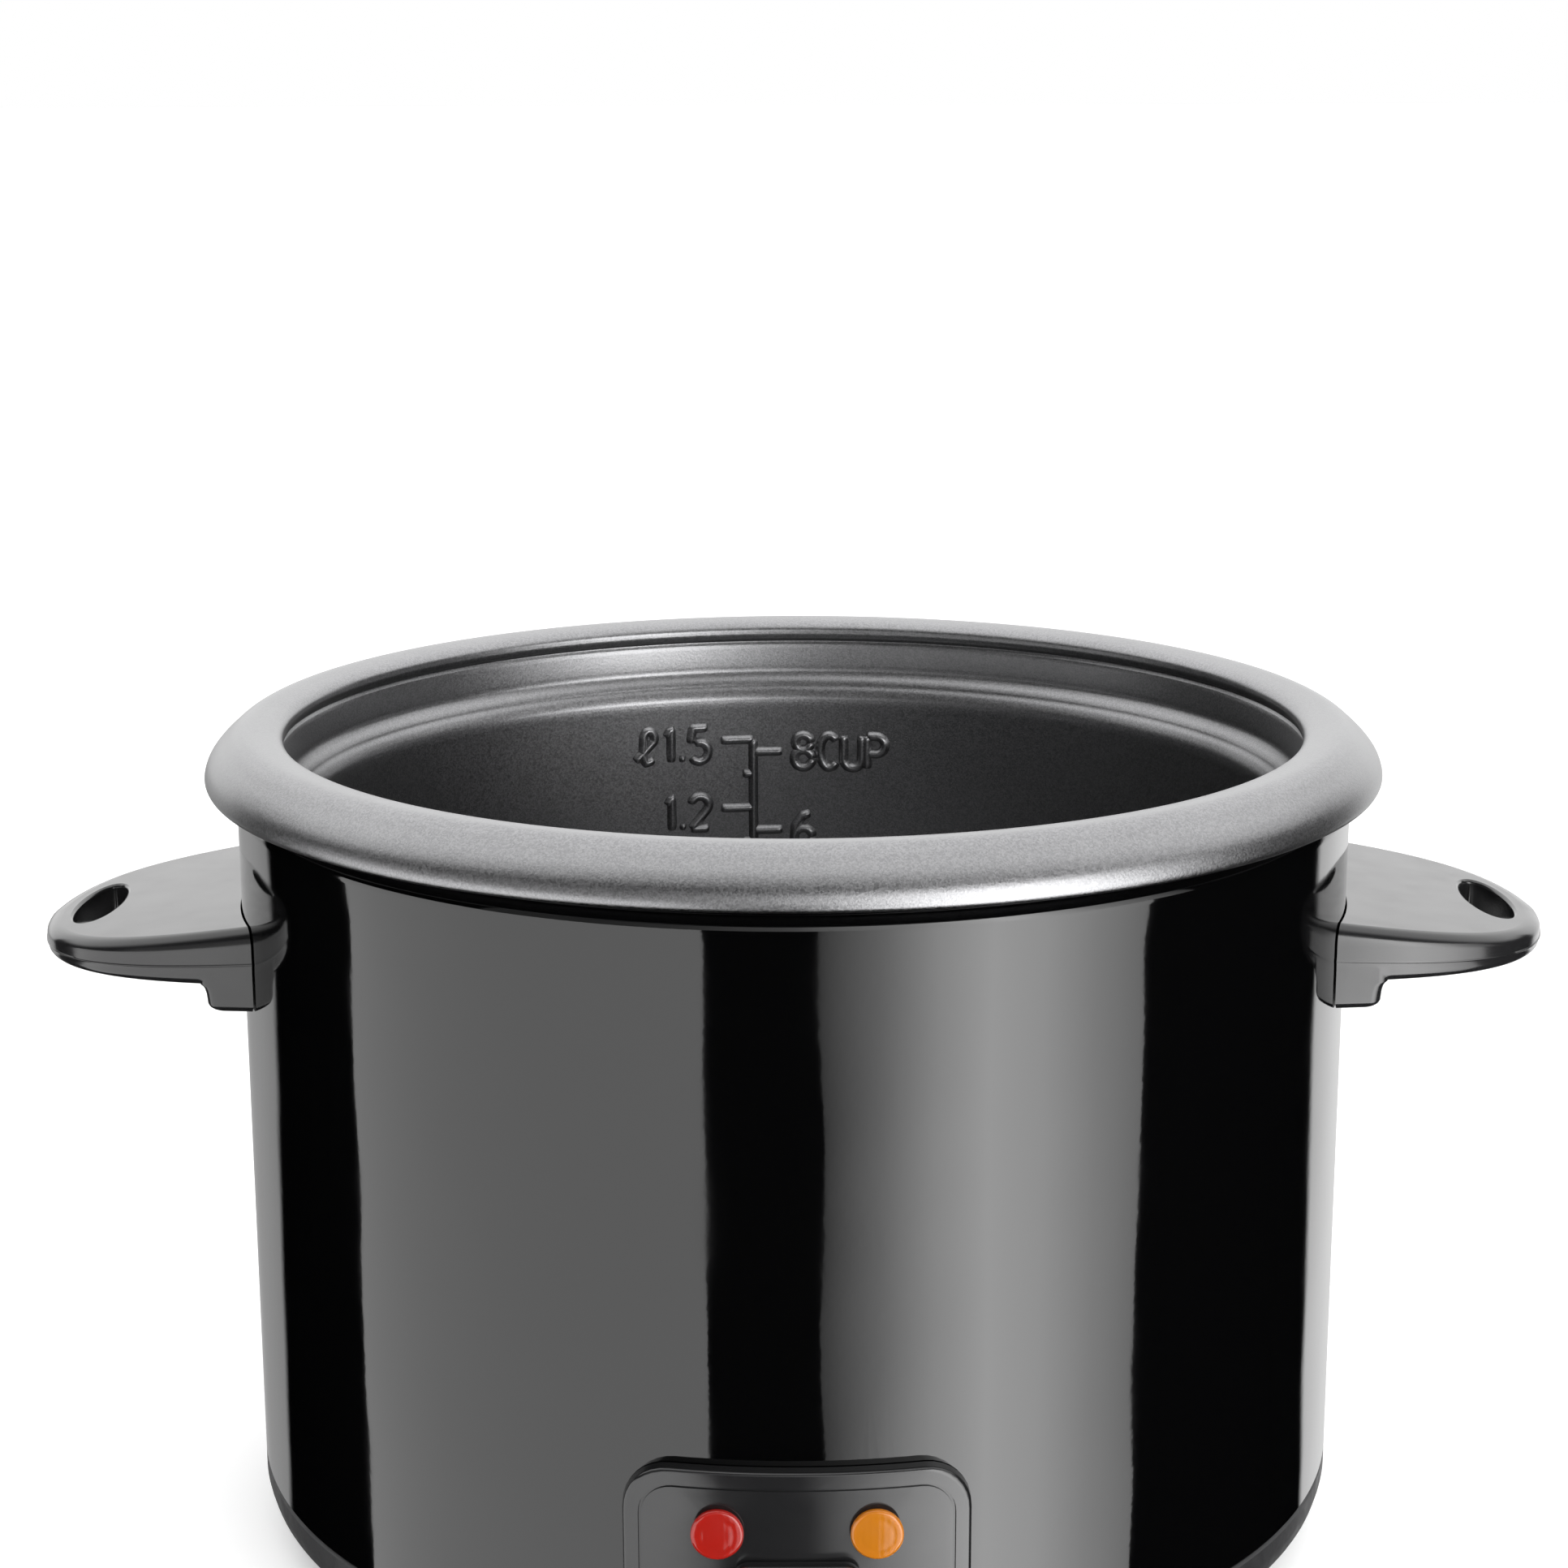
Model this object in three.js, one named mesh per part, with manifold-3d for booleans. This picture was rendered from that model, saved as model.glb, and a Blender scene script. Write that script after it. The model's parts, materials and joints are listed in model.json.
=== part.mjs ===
// Electric rice cooker with a lift-out pot, in millimetres.
// +Z is up and the origin is on the floor under the middle of the drum.
// The front, with the switch, looks along -Y, and the handles are on +X and -X.
import * as THREE from "three";
import { mergeVertices } from "three/addons/utils/BufferGeometryUtils.js";
import Module from "manifold-3d";

const wasm = await Module();
wasm.setup();

// Driving dimensions
const CREST_Z = 178; // top of the pot's rolled rim, the highest point
const RIM_R = 126; // outermost radius of the rim
const POT_SHEET = 1.8;
const POT_LOW_R = 105.5; // inside radius below the ledge
const POT_HIGH_R = 109.5; // inside radius above the ledge
const POT_DEPTH = 125; // from the crest to the inside floor
const POT_CORNER_R = 20;
const DRUM_R = 119.5;
const DRUM_SHEET = 1.2;
const DRUM_TOP_Z = 165;
const DRUM_LOW_Z = 16;
const DRUM_MOUTH_R = 112.7;
const LINER_R = 112.4; // inside radius of the liner's straight wall
const LINER_SHEET = 1;
const LINER_FLOOR_Z = 28; // upper face of the liner's floor
const LINER_HOLE_R = 32;
const GAP = 0.3; // kept between pieces that touch
const PLATE_R = 88;
const PLATE_LOW_Z = 38;
const PLATE_HOLE_R = 17.5;
const ELEMENT_RING_R = 64;
const ELEMENT_R = 4;
const FOOT_H = 5;
const COVER_FLOOR_Z = 5;
const COVER_WALL = 2.5;
const HANDLE_TIP_X = 163.4;
const HANDLE_ROOT_X = 110;
const HANDLE_LEAN_X = 116; // where the wing has its full height
const HANDLE_HALF_W = 42; // at the root
const HANDLE_TOP_Z = CREST_Z - 37.9;
const HANDLE_LOW_Z = CREST_Z - 49.8;
const HANDLE_FOOT_Z = CREST_Z - 55.6;
const HANDLE_FOOT_X = 122.4;
const HANDLE_SLOT_X = 152.6;
const PIVOT_Y = -45; // hinge pin of the switch lever
const PIVOT_Z = 19.5;
const LEVER_LOW_Z = 15.5;
const LEVER_SHEET = 1.5;
const LAMP_X = 15;
const LAMP_Z = 46;
const PANEL_HALF_W = 33;
const PANEL_LOW_Z = 17.5;
const PANEL_HIGH_Z = 58;
const PANEL_R = 122.6; // outer face of the panel's curve
const INLET_Z = 35;

const ROUND = 40; // sides of a large turned piece
const SMALL = 12; // sides of a small turned piece
const POT_FLOOR_Z = CREST_Z - POT_DEPTH;
const POT_BOTTOM_Z = POT_FLOOR_Z - POT_SHEET;
const PLATE_TOP_Z = POT_BOTTOM_Z - 0.5;

const MATERIALS = {
  coated: material(0x6f7072, 0.45, 0.75),
  blackPaint: material(0x070707, 0.06, 0.1),
  blackPlastic: material(0x101010, 0.22, 0),
  darkPlastic: material(0x1b1b1c, 0.5, 0),
  rubber: material(0x161616, 0.85, 0),
  steel: material(0xa9abad, 0.35, 1),
  castAluminium: material(0xb4b5b6, 0.5, 0.9),
  brass: material(0xb99a52, 0.35, 1),
  ferrite: material(0x2b2a2c, 0.6, 0.2),
  redLens: material(0xa01b12, 0.15, 0),
  amberLens: material(0xc97a16, 0.15, 0),
  ceramic: material(0xdedbd2, 0.6, 0),
  mica: material(0xb59b6d, 0.5, 0),
  redWire: material(0x9c2018, 0.5, 0),
  blueWire: material(0x1f3f86, 0.5, 0),
  greenWire: material(0x3d8a2f, 0.5, 0),
  whiteWire: material(0xd8d6cf, 0.55, 0),
};

const cooker = new THREE.Group();

function material(color, roughness, metalness) {
  return new THREE.MeshStandardMaterial({ color, roughness, metalness });
}

function add(name, geometry, finish) {
  const mesh = new THREE.Mesh(geometry, MATERIALS[finish]);
  mesh.name = name;
  cooker.add(mesh);
  return mesh;
}

// Geometry helpers

// A solid of revolution about +Z from [r, z] points.
// On a profile that closes on itself the points run anticlockwise, with r to the right and z up.
function turned(points, sides = ROUND) {
  const outline = points.map(([r, z]) => new THREE.Vector2(r, z));
  return new THREE.LatheGeometry(outline, sides).rotateX(Math.PI / 2);
}

function ring(innerR, outerR, lowZ, highZ, sides = ROUND) {
  return turned(
    [
      [innerR, lowZ],
      [outerR, lowZ],
      [outerR, highZ],
      [innerR, highZ],
      [innerR, lowZ],
    ],
    sides,
  );
}

function post(radius, lowZ, highZ, x = 0, y = 0, sides = SMALL) {
  return new THREE.CylinderGeometry(radius, radius, highZ - lowZ, sides)
    .rotateX(Math.PI / 2)
    .translate(x, y, (lowZ + highZ) / 2);
}

// A rod along +X or +Y, by its two end positions on that axis.
function rodX(radius, lowX, highX, y, z, sides = SMALL) {
  return new THREE.CylinderGeometry(radius, radius, highX - lowX, sides)
    .rotateZ(Math.PI / 2)
    .translate((lowX + highX) / 2, y, z);
}

function rodY(radius, lowY, highY, x, z, sides = SMALL) {
  return new THREE.CylinderGeometry(radius, radius, highY - lowY, sides)
    .translate(x, (lowY + highY) / 2, z);
}

function block([lowX, lowY, lowZ], [highX, highY, highZ]) {
  return new THREE.BoxGeometry(highX - lowX, highY - lowY, highZ - lowZ).translate(
    (lowX + highX) / 2,
    (lowY + highY) / 2,
    (lowZ + highZ) / 2,
  );
}

function roundedRect(width, height, radius) {
  const [w, h] = [width / 2, height / 2];
  const shape = new THREE.Shape();
  shape.moveTo(-w + radius, -h);
  shape.lineTo(w - radius, -h);
  shape.absarc(w - radius, -h + radius, radius, -Math.PI / 2, 0, false);
  shape.lineTo(w, h - radius);
  shape.absarc(w - radius, h - radius, radius, 0, Math.PI / 2, false);
  shape.lineTo(-w + radius, h);
  shape.absarc(-w + radius, h - radius, radius, Math.PI / 2, Math.PI, false);
  shape.lineTo(-w, -h + radius);
  shape.absarc(-w + radius, -h + radius, radius, Math.PI, 1.5 * Math.PI, false);
  return shape;
}

// An outline drawn in X and Z, extruded along Y.
function slabY(shape, lowY, highY, x, z) {
  return new THREE.ExtrudeGeometry(shape, {
    depth: highY - lowY,
    bevelEnabled: false,
    curveSegments: 5,
  })
    .rotateX(Math.PI / 2)
    .translate(x, highY, z);
}

function tube(points, radius, sides, steps) {
  const circle = new THREE.Shape();
  circle.absarc(0, 0, radius, 0, 2 * Math.PI, false);
  const route = new THREE.CatmullRomCurve3(
    points.map((p) => new THREE.Vector3(...p)),
    false,
    "centripetal",
  );
  return new THREE.ExtrudeGeometry(circle, {
    extrudePath: route,
    steps,
    curveSegments: sides / 2,
    bevelEnabled: false,
  });
}

function solid(geometry) {
  const bare = geometry.clone();
  bare.deleteAttribute("normal");
  bare.deleteAttribute("uv");
  const merged = mergeVertices(bare, 1e-4);
  return new wasm.Manifold(
    new wasm.Mesh({
      numProp: 3,
      vertProperties: new Float32Array(merged.attributes.position.array),
      triVerts: new Uint32Array(merged.index.array),
    }),
  );
}

function geometryOf(manifold) {
  const mesh = manifold.getMesh();
  return new THREE.BufferGeometry()
    .setAttribute("position", new THREE.BufferAttribute(mesh.vertProperties, 3))
    .setIndex(new THREE.BufferAttribute(mesh.triVerts, 1));
}

function join(...pieces) {
  return geometryOf(pieces.map(solid).reduce((a, b) => a.add(b)));
}

function cut(body, ...tools) {
  return geometryOf(tools.map(solid).reduce((a, b) => a.subtract(b), solid(body)));
}

function common(a, b) {
  return geometryOf(solid(a).intersect(solid(b)));
}

// Points of an arc in [r, z], from one angle to another in degrees.
function arc(r, z, radius, from, to, steps) {
  return Array.from({ length: steps + 1 }, (_, i) => {
    const angle = THREE.MathUtils.degToRad(from + ((to - from) * i) / steps);
    return [r + radius * Math.cos(angle), z + radius * Math.sin(angle)];
  });
}

function polar(radius, degrees) {
  const angle = THREE.MathUtils.degToRad(degrees);
  return [radius * Math.cos(angle), radius * Math.sin(angle)];
}

// The pot: one drawn sheet with a stepped wall and a rolled rim.
function innerPot() {
  const cornerZ = POT_FLOOR_Z + POT_CORNER_R;
  const outerCorner = POT_CORNER_R + POT_SHEET;
  const cornerMid = POT_LOW_R - POT_CORNER_R;
  const rimTop = [
    [RIM_R, CREST_Z - 10.1],
    [RIM_R - 0.8, CREST_Z - 6.8],
    [RIM_R - 3.2, CREST_Z - 3.9],
    [RIM_R - 6.3, CREST_Z - 1.5],
    [117, CREST_Z],
    [112, CREST_Z - 0.4],
    [109.4, CREST_Z - 2.8],
    [110, CREST_Z - 5.2],
  ];
  const inside = [
    [POT_HIGH_R, CREST_Z - 13],
    [POT_LOW_R + 1.6, CREST_Z - 15.8],
    [POT_LOW_R, CREST_Z - 19],
    ...arc(cornerMid, cornerZ, POT_CORNER_R, 0, -90, 4),
    [0, POT_FLOOR_Z],
  ];
  const outside = [
    [0, POT_BOTTOM_Z],
    ...arc(cornerMid, cornerZ, outerCorner, -90, 0, 4),
    [POT_LOW_R + POT_SHEET, CREST_Z - 19.8],
    [POT_HIGH_R + POT_SHEET, CREST_Z - 14],
    [POT_HIGH_R + POT_SHEET + 0.2, CREST_Z - 5],
    [113, CREST_Z - 2.4],
    [117, CREST_Z - 2],
    [RIM_R - 7, CREST_Z - 3.8],
    [RIM_R - 3.4, CREST_Z - 6.6],
    [RIM_R - 2, CREST_Z - 10.9],
  ];
  add("inner_pot", turned([...outside, ...rimTop, ...inside]), "coated");
}

// The drum: painted steel, its top edge rounded over and turned in to a mouth.
function outerCasing() {
  const bend = 3.5;
  const inside = DRUM_R - DRUM_SHEET;
  const shell = turned([
    [inside, DRUM_LOW_Z],
    [DRUM_R, DRUM_LOW_Z],
    ...arc(DRUM_R - bend, DRUM_TOP_Z - bend, bend, 0, 90, 4),
    [DRUM_MOUTH_R, DRUM_TOP_Z],
    [DRUM_MOUTH_R, DRUM_TOP_Z - DRUM_SHEET],
    ...arc(DRUM_R - bend, DRUM_TOP_Z - bend, bend - DRUM_SHEET, 90, 0, 3),
    [inside, DRUM_LOW_Z],
  ]);
  const keySlot = block([-7, -125, 18.7], [7, -110, 38.5]);
  const lampHoles = [-LAMP_X, LAMP_X].map((x) => rodY(4.3, -125, -110, x, LAMP_Z));
  const inletHole = block([-14, 110, INLET_Z - 10.5], [14, 125, INLET_Z + 10.5]);
  const screwHoles = handleScrewPlaces().map(([side, y, z]) =>
    side > 0 ? rodX(2.3, 105, 125, y, z) : rodX(2.3, -125, -105, y, z),
  );
  add("outer_casing", cut(shell, keySlot, ...lampHoles, inletHole, ...screwHoles), "blackPaint");
}

// The liner: a drawn bowl that hangs from the drum's mouth and narrows round the plate.
function innerLiner() {
  const top = DRUM_TOP_Z - DRUM_SHEET - GAP;
  const outer = LINER_R + LINER_SHEET;
  const floor = LINER_FLOOR_Z - LINER_SHEET;
  const bowl = turned([
    [LINER_HOLE_R, floor],
    [95, floor],
    [98, floor + 4],
    [100, 50],
    [106, 60],
    [outer, 74],
    [outer, top - LINER_SHEET],
    [116.5, top - LINER_SHEET],
    [116.5, top],
    [LINER_R, top],
    [LINER_R, 74.5],
    [105, 60.5],
    [99, 50.4],
    [97, floor + 4.4],
    [94.6, LINER_FLOOR_Z],
    [LINER_HOLE_R, LINER_FLOOR_Z],
    [LINER_HOLE_R, floor],
  ]);
  const holes = [...legPlaces(), ...coverScrewPlaces()].map(([x, y]) =>
    post(2.4, floor - 2, LINER_FLOOR_Z + 2, x, y),
  );
  add("inner_liner", cut(bowl, ...holes), "steel");
}

// The base: a moulded dish with air slots, screw pillars and foot sockets.
function coverScrewPlaces() {
  return [60, 180, 300].map((degrees) => polar(80, degrees));
}

function footPlaces() {
  return [45, 135, 225, 315].map((degrees) => polar(98, degrees));
}

function bottomCover() {
  const ledge = DRUM_LOW_Z - GAP;
  const dish = turned([
    [0, COVER_FLOOR_Z],
    [112, COVER_FLOOR_Z],
    [118, COVER_FLOOR_Z + 2.5],
    [DRUM_R, COVER_FLOOR_Z + 5],
    [DRUM_R, ledge],
    [117.7, ledge],
    [117.7, DRUM_LOW_Z + 3],
    [115.5, DRUM_LOW_Z + 3],
    [115.5, COVER_FLOOR_Z + 6],
    [111, COVER_FLOOR_Z + COVER_WALL],
    [0, COVER_FLOOR_Z + COVER_WALL],
  ]);
  const pillarTop = LINER_FLOOR_Z - LINER_SHEET - GAP;
  const pillars = coverScrewPlaces().map(([x, y]) =>
    post(6, COVER_FLOOR_Z + 1, pillarTop, x, y),
  );
  const wells = coverScrewPlaces().flatMap(([x, y]) => [
    post(4, COVER_FLOOR_Z - 1, pillarTop - 4, x, y),
    post(2.3, COVER_FLOOR_Z, pillarTop + 1, x, y),
  ]);
  const sockets = footPlaces().map(([x, y]) =>
    post(3.4, COVER_FLOOR_Z - 1, COVER_FLOOR_Z + COVER_WALL + 1, x, y),
  );
  const slots = Array.from({ length: 12 }, (_, i) => {
    const slot = block([26, -1.6, COVER_FLOOR_Z - 1], [52, 1.6, COVER_FLOOR_Z + 4]);
    return slot.rotateZ((2 * Math.PI * (i + 0.5)) / 12);
  });
  const dishWithPillars = join(dish, ...pillars);
  add("bottom_cover", cut(dishWithPillars, ...wells, ...sockets, ...slots), "darkPlastic");
}

function coverScrews() {
  const headTop = LINER_FLOOR_Z - LINER_SHEET - GAP - 4 - GAP;
  coverScrewPlaces().forEach(([x, y], i) => {
    const screw = join(
      post(3.5, headTop - 2.2, headTop, x, y),
      post(2, headTop - 1, LINER_FLOOR_Z + 3, x, y, 10),
    );
    add(`cover_screw_${i + 1}`, screw, "steel");
  });
}

function feet() {
  const through = COVER_FLOOR_Z + COVER_WALL;
  footPlaces().forEach(([x, y], i) => {
    const foot = turned(
      [
        [0, 0],
        [8, 0],
        [9, 1],
        [9, FOOT_H - GAP],
        [3, FOOT_H - GAP],
        [3, through + GAP],
        [4.6, through + GAP],
        [3, through + 2.5],
        [0, through + 2.5],
      ],
      20,
    ).translate(x, y, 0);
    add(`foot_${i + 1}`, foot, "rubber");
  });
}

// A handle: one moulding, a wing with a collared slot near its tip and a foot against the drum.
function handleOutline() {
  const shape = new THREE.Shape();
  shape.moveTo(HANDLE_ROOT_X, -HANDLE_HALF_W);
  shape.bezierCurveTo(140.8, -40.1, 161.7, -33.6, HANDLE_TIP_X, 0);
  shape.bezierCurveTo(161.7, 33.6, 140.8, 40.1, HANDLE_ROOT_X, HANDLE_HALF_W);
  shape.lineTo(HANDLE_ROOT_X, -HANDLE_HALF_W);
  return shape;
}

// The wing thins to its tip: its top falls while its underside stays almost level.
function leanWing(geometry) {
  const place = geometry.attributes.position;
  for (let i = 0; i < place.count; i++) {
    const reach = place.getX(i) - HANDLE_LEAN_X;
    const share = (place.getZ(i) - HANDLE_LOW_Z) / (HANDLE_TOP_Z - HANDLE_LOW_Z);
    place.setZ(i, place.getZ(i) - reach * (0.148 * share - 0.007));
  }
  return geometry;
}

// A shape in plan stood up between two heights.
function raised(shape, low, high) {
  return new THREE.ExtrudeGeometry(shape, {
    depth: high - low,
    bevelEnabled: false,
    curveSegments: 12,
  }).translate(0, 0, low);
}

function slotShape(grow) {
  const shape = new THREE.Shape();
  shape.absellipse(HANDLE_SLOT_X, 0, 4.8 + grow, 15.5 + grow, 0, 2 * Math.PI, false);
  return shape;
}

function rightHandle() {
  const edge = 2.5;
  const height = HANDLE_TOP_Z - HANDLE_LOW_Z;
  const wing = leanWing(
    new THREE.ExtrudeGeometry(handleOutline(), {
      depth: height - 2 * edge,
      bevelThickness: edge,
      bevelSize: edge,
      bevelOffset: -edge,
      bevelSegments: 2,
      curveSegments: 9,
    }).translate(0, 0, HANDLE_LOW_Z + edge),
  );
  const footShape = new THREE.Shape([
    new THREE.Vector2(HANDLE_ROOT_X, -HANDLE_HALF_W),
    new THREE.Vector2(HANDLE_FOOT_X, 1 - HANDLE_HALF_W),
    new THREE.Vector2(HANDLE_FOOT_X, HANDLE_HALF_W - 1),
    new THREE.Vector2(HANDLE_ROOT_X, HANDLE_HALF_W),
  ]);
  const foot = raised(footShape, HANDLE_FOOT_Z, HANDLE_LOW_Z + 3);
  const collar = raised(slotShape(1.8), HANDLE_LOW_Z - 2.5, HANDLE_LOW_Z + 3);
  const slot = raised(slotShape(0), HANDLE_FOOT_Z - 5, HANDLE_TOP_Z + 5);
  const drum = turned(
    [
      [0, 100],
      [DRUM_R + GAP, 100],
      [DRUM_R + GAP, 170],
      [0, 170],
    ],
    2 * ROUND,
  );
  const bores = handleScrewPlaces()
    .filter(([side]) => side > 0)
    .map(([, y, z]) => rodX(2, DRUM_R - 20, DRUM_R + 9, y, z));
  return cut(join(wing, foot, collar), slot, drum, ...bores);
}

function handles() {
  const right = rightHandle();
  add("right_handle", right, "blackPlastic");
  add("left_handle", right.clone().rotateZ(Math.PI), "blackPlastic");
}

// Two screws hold each handle, from inside the drum: [side, y, z].
function handleScrewPlaces() {
  const z = HANDLE_TOP_Z - 5.5;
  return [-1, 1].flatMap((side) => [-18, 18].map((y) => [side, y, z]));
}

function handleScrews() {
  const names = ["left_a", "left_b", "right_a", "right_b"];
  handleScrewPlaces().forEach(([side, y, z], i) => {
    const wall = Math.sqrt((DRUM_R - DRUM_SHEET) ** 2 - (Math.abs(y) + 3.6) ** 2) - GAP;
    const screw = join(
      rodX(3.4, wall - 2.4, wall, y, z),
      rodX(1.7, wall - 1, DRUM_R + 7, y, z, 10),
    );
    if (side < 0) screw.rotateZ(Math.PI).translate(0, 2 * y, 0);
    add(`handle_screw_${names[i]}`, screw, "steel");
  });
}

// The front panel is a curved plate on the drum, with a slot for the key and two lamp holes.
function controlPanel() {
  const height = PANEL_HIGH_Z - PANEL_LOW_Z;
  const sleeve = ring(DRUM_R + GAP, PANEL_R, 0, 80, 2 * ROUND);
  const outline = slabY(
    roundedRect(2 * PANEL_HALF_W, height, 9),
    -130,
    -100,
    0,
    PANEL_LOW_Z + height / 2,
  );
  const keySlot = block([-7, -130, 20.5], [7, -100, 38.5]);
  const lampHoles = [-LAMP_X, LAMP_X].map((x) => rodY(4.3, -130, -100, x, LAMP_Z));
  add("control_panel", cut(common(sleeve, outline), keySlot, ...lampHoles), "blackPlastic");
}

function lamps() {
  const kinds = [
    ["cook", -LAMP_X, "redLens"],
    ["warm", LAMP_X, "amberLens"],
  ];
  kinds.forEach(([name, x, finish]) => {
    const lens = join(
      rodY(5, -123.8, -122.6, x, LAMP_Z),
      rodY(3.9, -122.8, -113, x, LAMP_Z),
    );
    add(`${name}_lamp_lens`, lens, finish);
    const bulb = join(
      rodY(2.4, -112.6, -106, x, LAMP_Z, 12),
      rodY(0.6, -107, -103.5, x, LAMP_Z, 8),
    );
    add(`${name}_lamp`, bulb, "ceramic");
  });
}

// The key rocks the lever. Its paddle slides over the panel's face.
function switchKey() {
  const paddle = slabY(roundedRect(24, 12, 3), -125.9, -122.9, 0, 34.5);
  const neck = block([-5, -123.5, 30.5], [5, -110, 37]);
  const rivetHole = post(1.9, 25, 40, 0, -114, 12);
  add("switch_key", cut(join(paddle, neck), rivetHole), "blackPlastic");
}

function switchLever() {
  const top = LEVER_LOW_Z + LEVER_SHEET;
  const arm = block([-6, -105, LEVER_LOW_Z], [6, 8, top]);
  const riser = block([-4, -106.5, LEVER_LOW_Z], [4, -105, 30.2]);
  const tab = block([-4, -118, 28.7], [4, -105, 30.2]);
  const rivet = post(1.5, 29, 38, 0, -114, 10);
  const ears = [-1, 1].map((side) => {
    const [low, high] = [side * 5.9, side * 7.4].sort((a, b) => a - b);
    return block([low, PIVOT_Y - 3.5, LEVER_LOW_Z], [high, PIVOT_Y + 3.5, 23]);
  });
  const pinHole = rodX(1.8, -10, 10, PIVOT_Y, PIVOT_Z);
  const stemSlot = block([-3.6, -5, LEVER_LOW_Z - 1], [3.6, 4, top + 1]);
  const lever = cut(join(arm, riser, tab, rivet, ...ears), pinHole, stemSlot);
  add("switch_lever", lever, "steel");
}

function leverBracket() {
  const top = LINER_FLOOR_Z - LINER_SHEET - GAP;
  const plate = block([-12, -60, top - 1.5], [12, -20, top]);
  const ears = [-1, 1].map((side) => {
    const [low, high] = [side * 8.8, side * 10.3].sort((a, b) => a - b);
    return block([low, PIVOT_Y - 4.5, 15], [high, PIVOT_Y + 4.5, top - 0.5]);
  });
  const pinHole = rodX(1.8, -15, 15, PIVOT_Y, PIVOT_Z);
  add("lever_bracket", cut(join(plate, ...ears), pinHole), "steel");
}

function pivotPin() {
  const pin = join(
    rodX(1.5, -11.5, 12.5, PIVOT_Y, PIVOT_Z),
    rodX(2.6, -12.5, -11, PIVOT_Y, PIVOT_Z),
  );
  add("lever_pivot_pin", pin, "steel");
}

function microSwitch() {
  const body = cut(
    block([-3.2, -40, 19.8], [3.2, -25.5, 24.9]),
    rodX(1, -5, 5, -37.5, 22.8, 10),
    rodX(1, -5, 5, -27.2, 23.3, 10),
    post(1.6, 19, 21.9, 0, -30, 12),
  );
  add("micro_switch", body, "darkPlastic");
  add("micro_switch_plunger", post(1.2, 17.5, 19.8, 0, -30, 12), "ceramic");
}

// The heating plate: cast aluminium, with a groove underneath for the tubular element.
function legPlaces() {
  return [90, 210, 330].map((degrees) => polar(76, degrees));
}

function heatingPlate() {
  const inner = ELEMENT_RING_R - ELEMENT_R - 0.4;
  const outer = ELEMENT_RING_R + ELEMENT_R + 0.4;
  const grooveTop = PLATE_LOW_Z + 5.4;
  const disc = turned([
    [PLATE_HOLE_R, PLATE_LOW_Z],
    [inner, PLATE_LOW_Z],
    [inner, grooveTop],
    [outer, grooveTop],
    [outer, PLATE_LOW_Z],
    [PLATE_R - 3, PLATE_LOW_Z],
    [PLATE_R, PLATE_LOW_Z + 3],
    [PLATE_R, PLATE_TOP_Z - 2],
    [PLATE_R - 2.5, PLATE_TOP_Z],
    [PLATE_HOLE_R, PLATE_TOP_Z],
    [PLATE_HOLE_R, PLATE_LOW_Z],
  ]);
  const bores = legPlaces().map(([x, y]) => post(2.4, PLATE_LOW_Z - 1, PLATE_LOW_Z + 9, x, y));
  add("heating_plate", cut(disc, ...bores), "castAluminium");
}

function heatingElement() {
  const level = PLATE_LOW_Z + 1;
  const sweep = 330;
  const turns = 11;
  const onRing = Array.from({ length: turns + 1 }, (_, i) => {
    const degrees = 105 + (sweep * i) / turns;
    return [...polar(ELEMENT_RING_R, degrees), level];
  });
  const start = [...polar(ELEMENT_RING_R, 98), level - 4.6];
  const end = [...polar(ELEMENT_RING_R, 105 + sweep + 7), level - 4.6];
  const element = tube([start, ...onRing, end], ELEMENT_R - 0.6, 8, 36);
  add("heating_element", element, "steel");
}

function plateLegs() {
  const floor = LINER_FLOOR_Z;
  legPlaces().forEach(([x, y], i) => {
    const leg = ring(2.5, 5, floor + GAP, PLATE_LOW_Z - GAP, SMALL).translate(x, y, 0);
    add(`plate_leg_${i + 1}`, leg, "steel");
    const headTop = floor - LINER_SHEET - GAP;
    const screw = join(
      post(4, headTop - 2.4, headTop, x, y),
      post(2, headTop - 1, PLATE_LOW_Z + 8, x, y, 10),
    );
    add(`plate_screw_${i + 1}`, screw, "steel");
  });
}

// The thermostat: a cap pressed up against the pot, a ferrite under its top, and a magnet that the lever lifts.
function sensorCap() {
  const cap = turned(
    [
      [14.8, 34.4],
      [19, 34.4],
      [19, 35.6],
      [16, 35.6],
      [16, PLATE_TOP_Z - 1],
      [15, PLATE_TOP_Z],
      [0, PLATE_TOP_Z],
      [0, PLATE_TOP_Z - 1.2],
      [14.8, PLATE_TOP_Z - 1.2],
      [14.8, 34.4],
    ],
    32,
  );
  add("sensor_cap", cap, "castAluminium");
  const ferrite = turned(
    [
      [0, 44.2],
      [11, 44.2],
      [12, 45],
      [12, PLATE_TOP_Z - 1.5],
      [0, PLATE_TOP_Z - 1.5],
    ],
    24,
  );
  add("sensor_ferrite", ferrite, "ferrite");
}

function sensorBracket() {
  const low = 24;
  const top = low + 1.5;
  const disc = ring(6.2, 19, low, top, 28);
  const strap = cut(block([-27.5, -7, low], [27.5, 7, top]), post(12, low - 1, top + 1, 0, 0, SMALL));
  const ears = [-27.5, 26].map((x) => block([x, -7, low], [x + 1.5, 7, PLATE_LOW_Z - GAP]));
  add("sensor_bracket", join(disc, strap, ...ears), "steel");
}

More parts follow.
